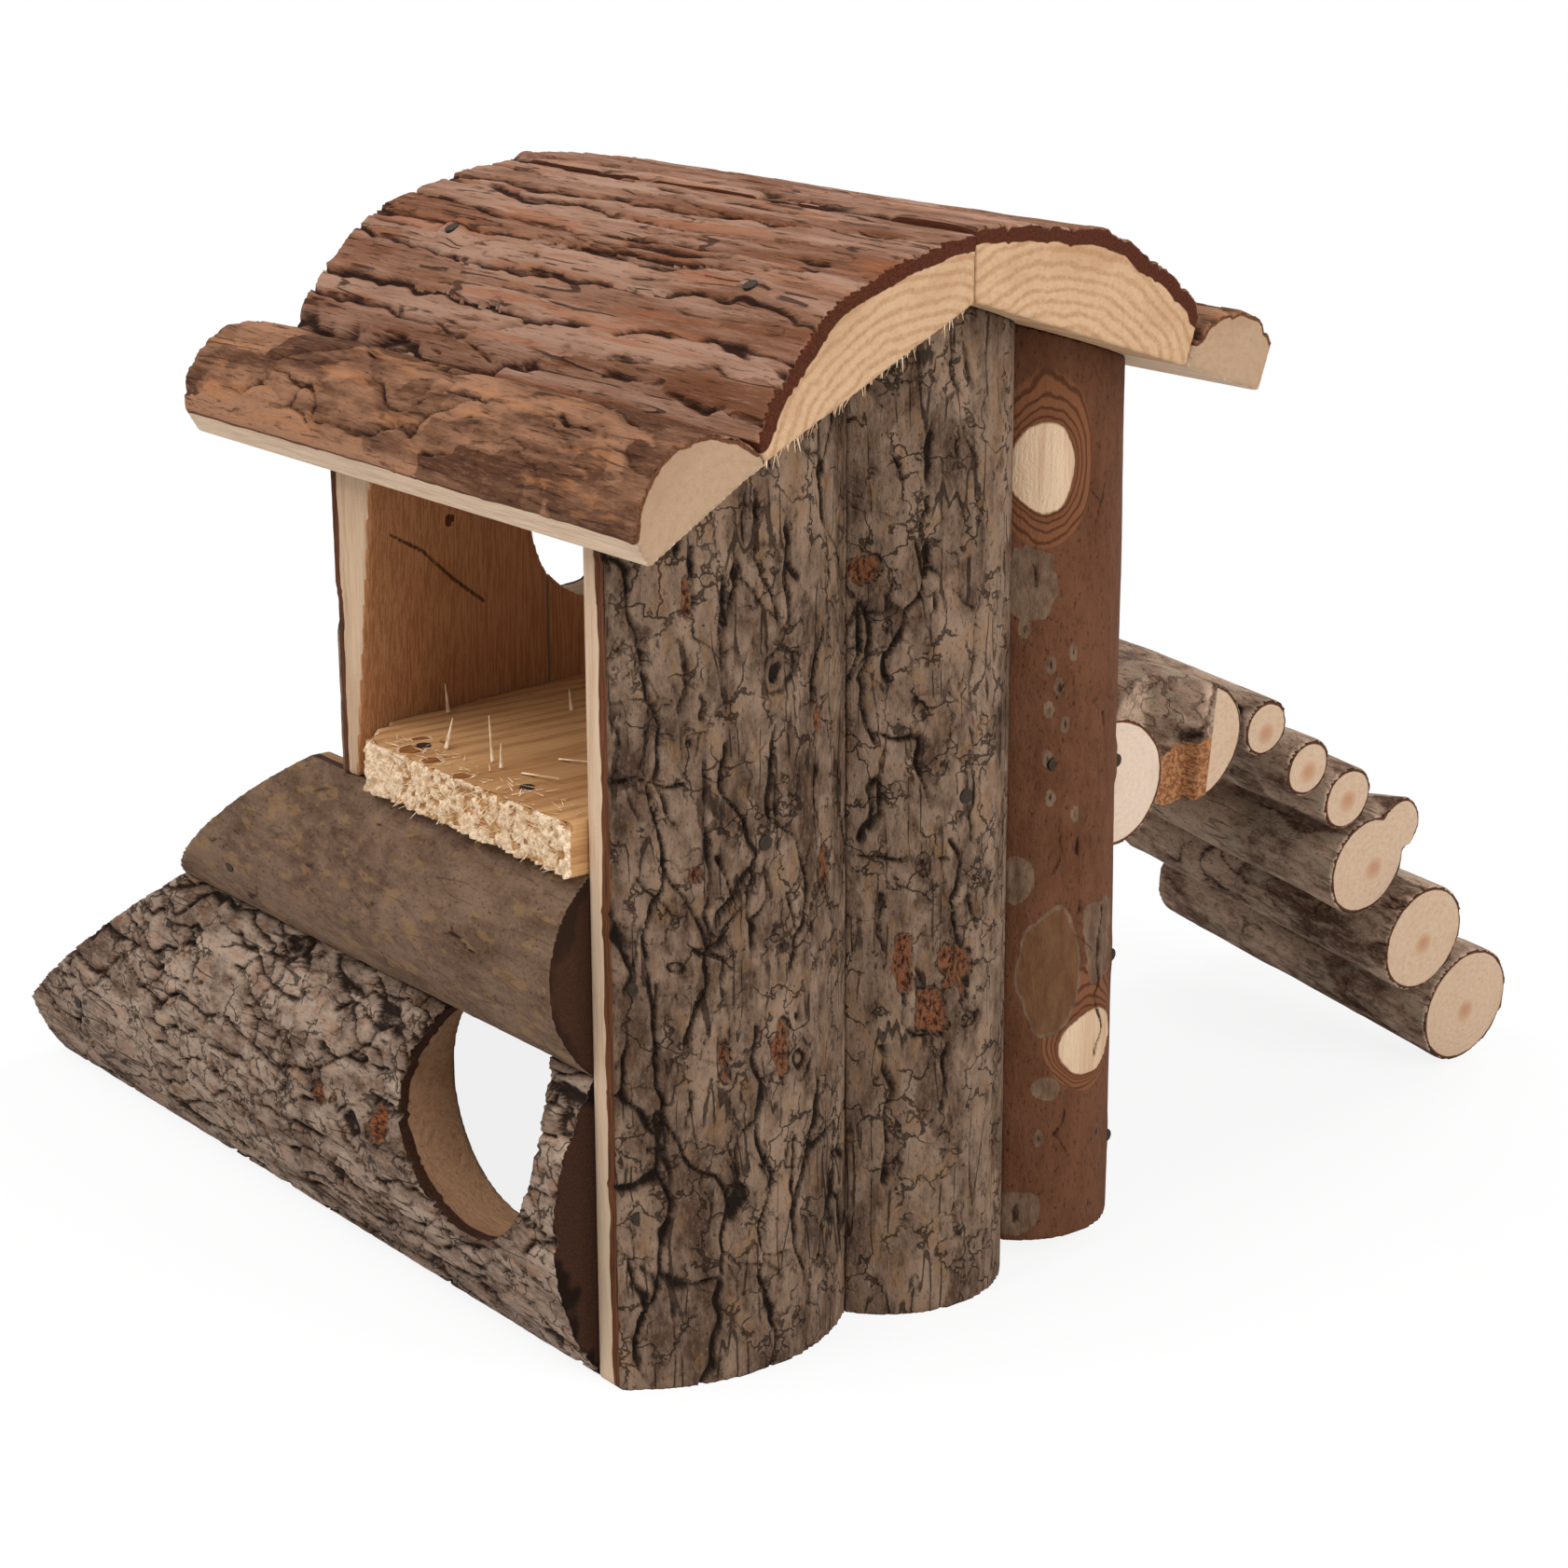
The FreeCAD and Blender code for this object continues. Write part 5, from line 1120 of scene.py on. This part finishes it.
sill_finish = bark_and_wood("sill_bark", ROD_BARK_TONES, SILL_WOOD_TONES, ring_show=0.08,
                            hairs=(0.3, 0.4), spots=0.3, plate_show=0.3, heart_show=0.1,
                            **THIN_BARK)
torn_finish = bark_and_wood("torn_branch_bark", ROD_BARK_TONES, ROD_WOOD_TONES, ring_show=0.05,
                            hairs=(0.5, 0.5), spots=0.45, plate_show=0.8,
                            patch_tones=TORN_END_TONES, **THIN_BARK)
rod_axis = Vector(frame["joints"][0]["axis"])
rod_out = (UPRIGHT - rod_axis * UPRIGHT.dot(rod_axis)).normalized()

SPLIT_LENGTH = 30.0      # mm from the log's end
SAWN_WIDTH = 10.0        # mm of the end's far side
STUB_OFFSET = Vector((0, -14.0, 17.0))   # mm, a dark knot, from the far and the lower side
STUB_REACH = 3.0         # mm over which that knot fades
BARK_EDGE = (15.0, 0.35)     # mm up the end, and slope, below which it is torn


def split_end(piece, node):
    """A branch end that is sawn on its far part only, with bark above and torn wood below."""
    low, high = (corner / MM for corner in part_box(node))
    stub_place = Vector((high.x, high.y, low.z)) + STUB_OFFSET
    layers = piece.data.attributes
    for vertex, face, skin, marks in zip(piece.data.vertices, layers["faces"].data,
                                         layers["skin"].data, layers["marks"].data):
        spot = vertex.co / MM
        if (face.vector.x > 0.5 or spot.x < high.x - SPLIT_LENGTH
                or spot.y > high.y - SAWN_WIDTH):
            continue
        if spot.z > low.z + BARK_EDGE[0] - BARK_EDGE[1] * (stub_place.y - spot.y):
            face.vector.x = 1.0
        else:
            skin.vector.z = 1.0
        nearness = spot - stub_place
        nearness.x *= 0.2
        marks.vector.x = min(max(marks.vector.x, 0.8), nearness.length / STUB_REACH)


for seed, body in enumerate(list(frame["bodies"]), start=91):
    node, axis, out, finish = body, rod_axis, rod_out, rod_finish
    if body == "house":
        node, axis, out, finish = "sill_log", LENGTHWISE, UPRIGHT, sill_finish
    rod = carved_copy(node, axis, out, 0.75, ROD_BARK, seed, round_log=True)
    if body == "knotted_log":
        split_end(rod, node)
        finish = torn_finish
    hand_in(rod, finish, body, node)


# ---------------------------------------------------------------- nails and wires
# Galvanised wire and browned flat-headed nails. They keep the shapes of their CAD nodes and only
# get their finish here.

for ending, dark, pale, roughness in (("_nails", (36, 28, 23), (74, 62, 53), 0.7),
                                      ("_wires", (96, 96, 98), (150, 150, 150), 0.45)):
    steel, steel_finish = paint("steel" + ending)
    haze = steel_finish.noise(steel_finish.place(), 900.0, 3, 0.6)
    steel_finish.surface(steel_finish.blend(haze, tone(dark), tone(pale)), roughness,
                         steel_finish.bump(haze, 0.1 * MM, 0.5), metallic=0.85)
    for node, part in frame["nodes"].items():
        if node.endswith(ending):
            part.data.materials.clear()
            part.data.materials.append(steel)
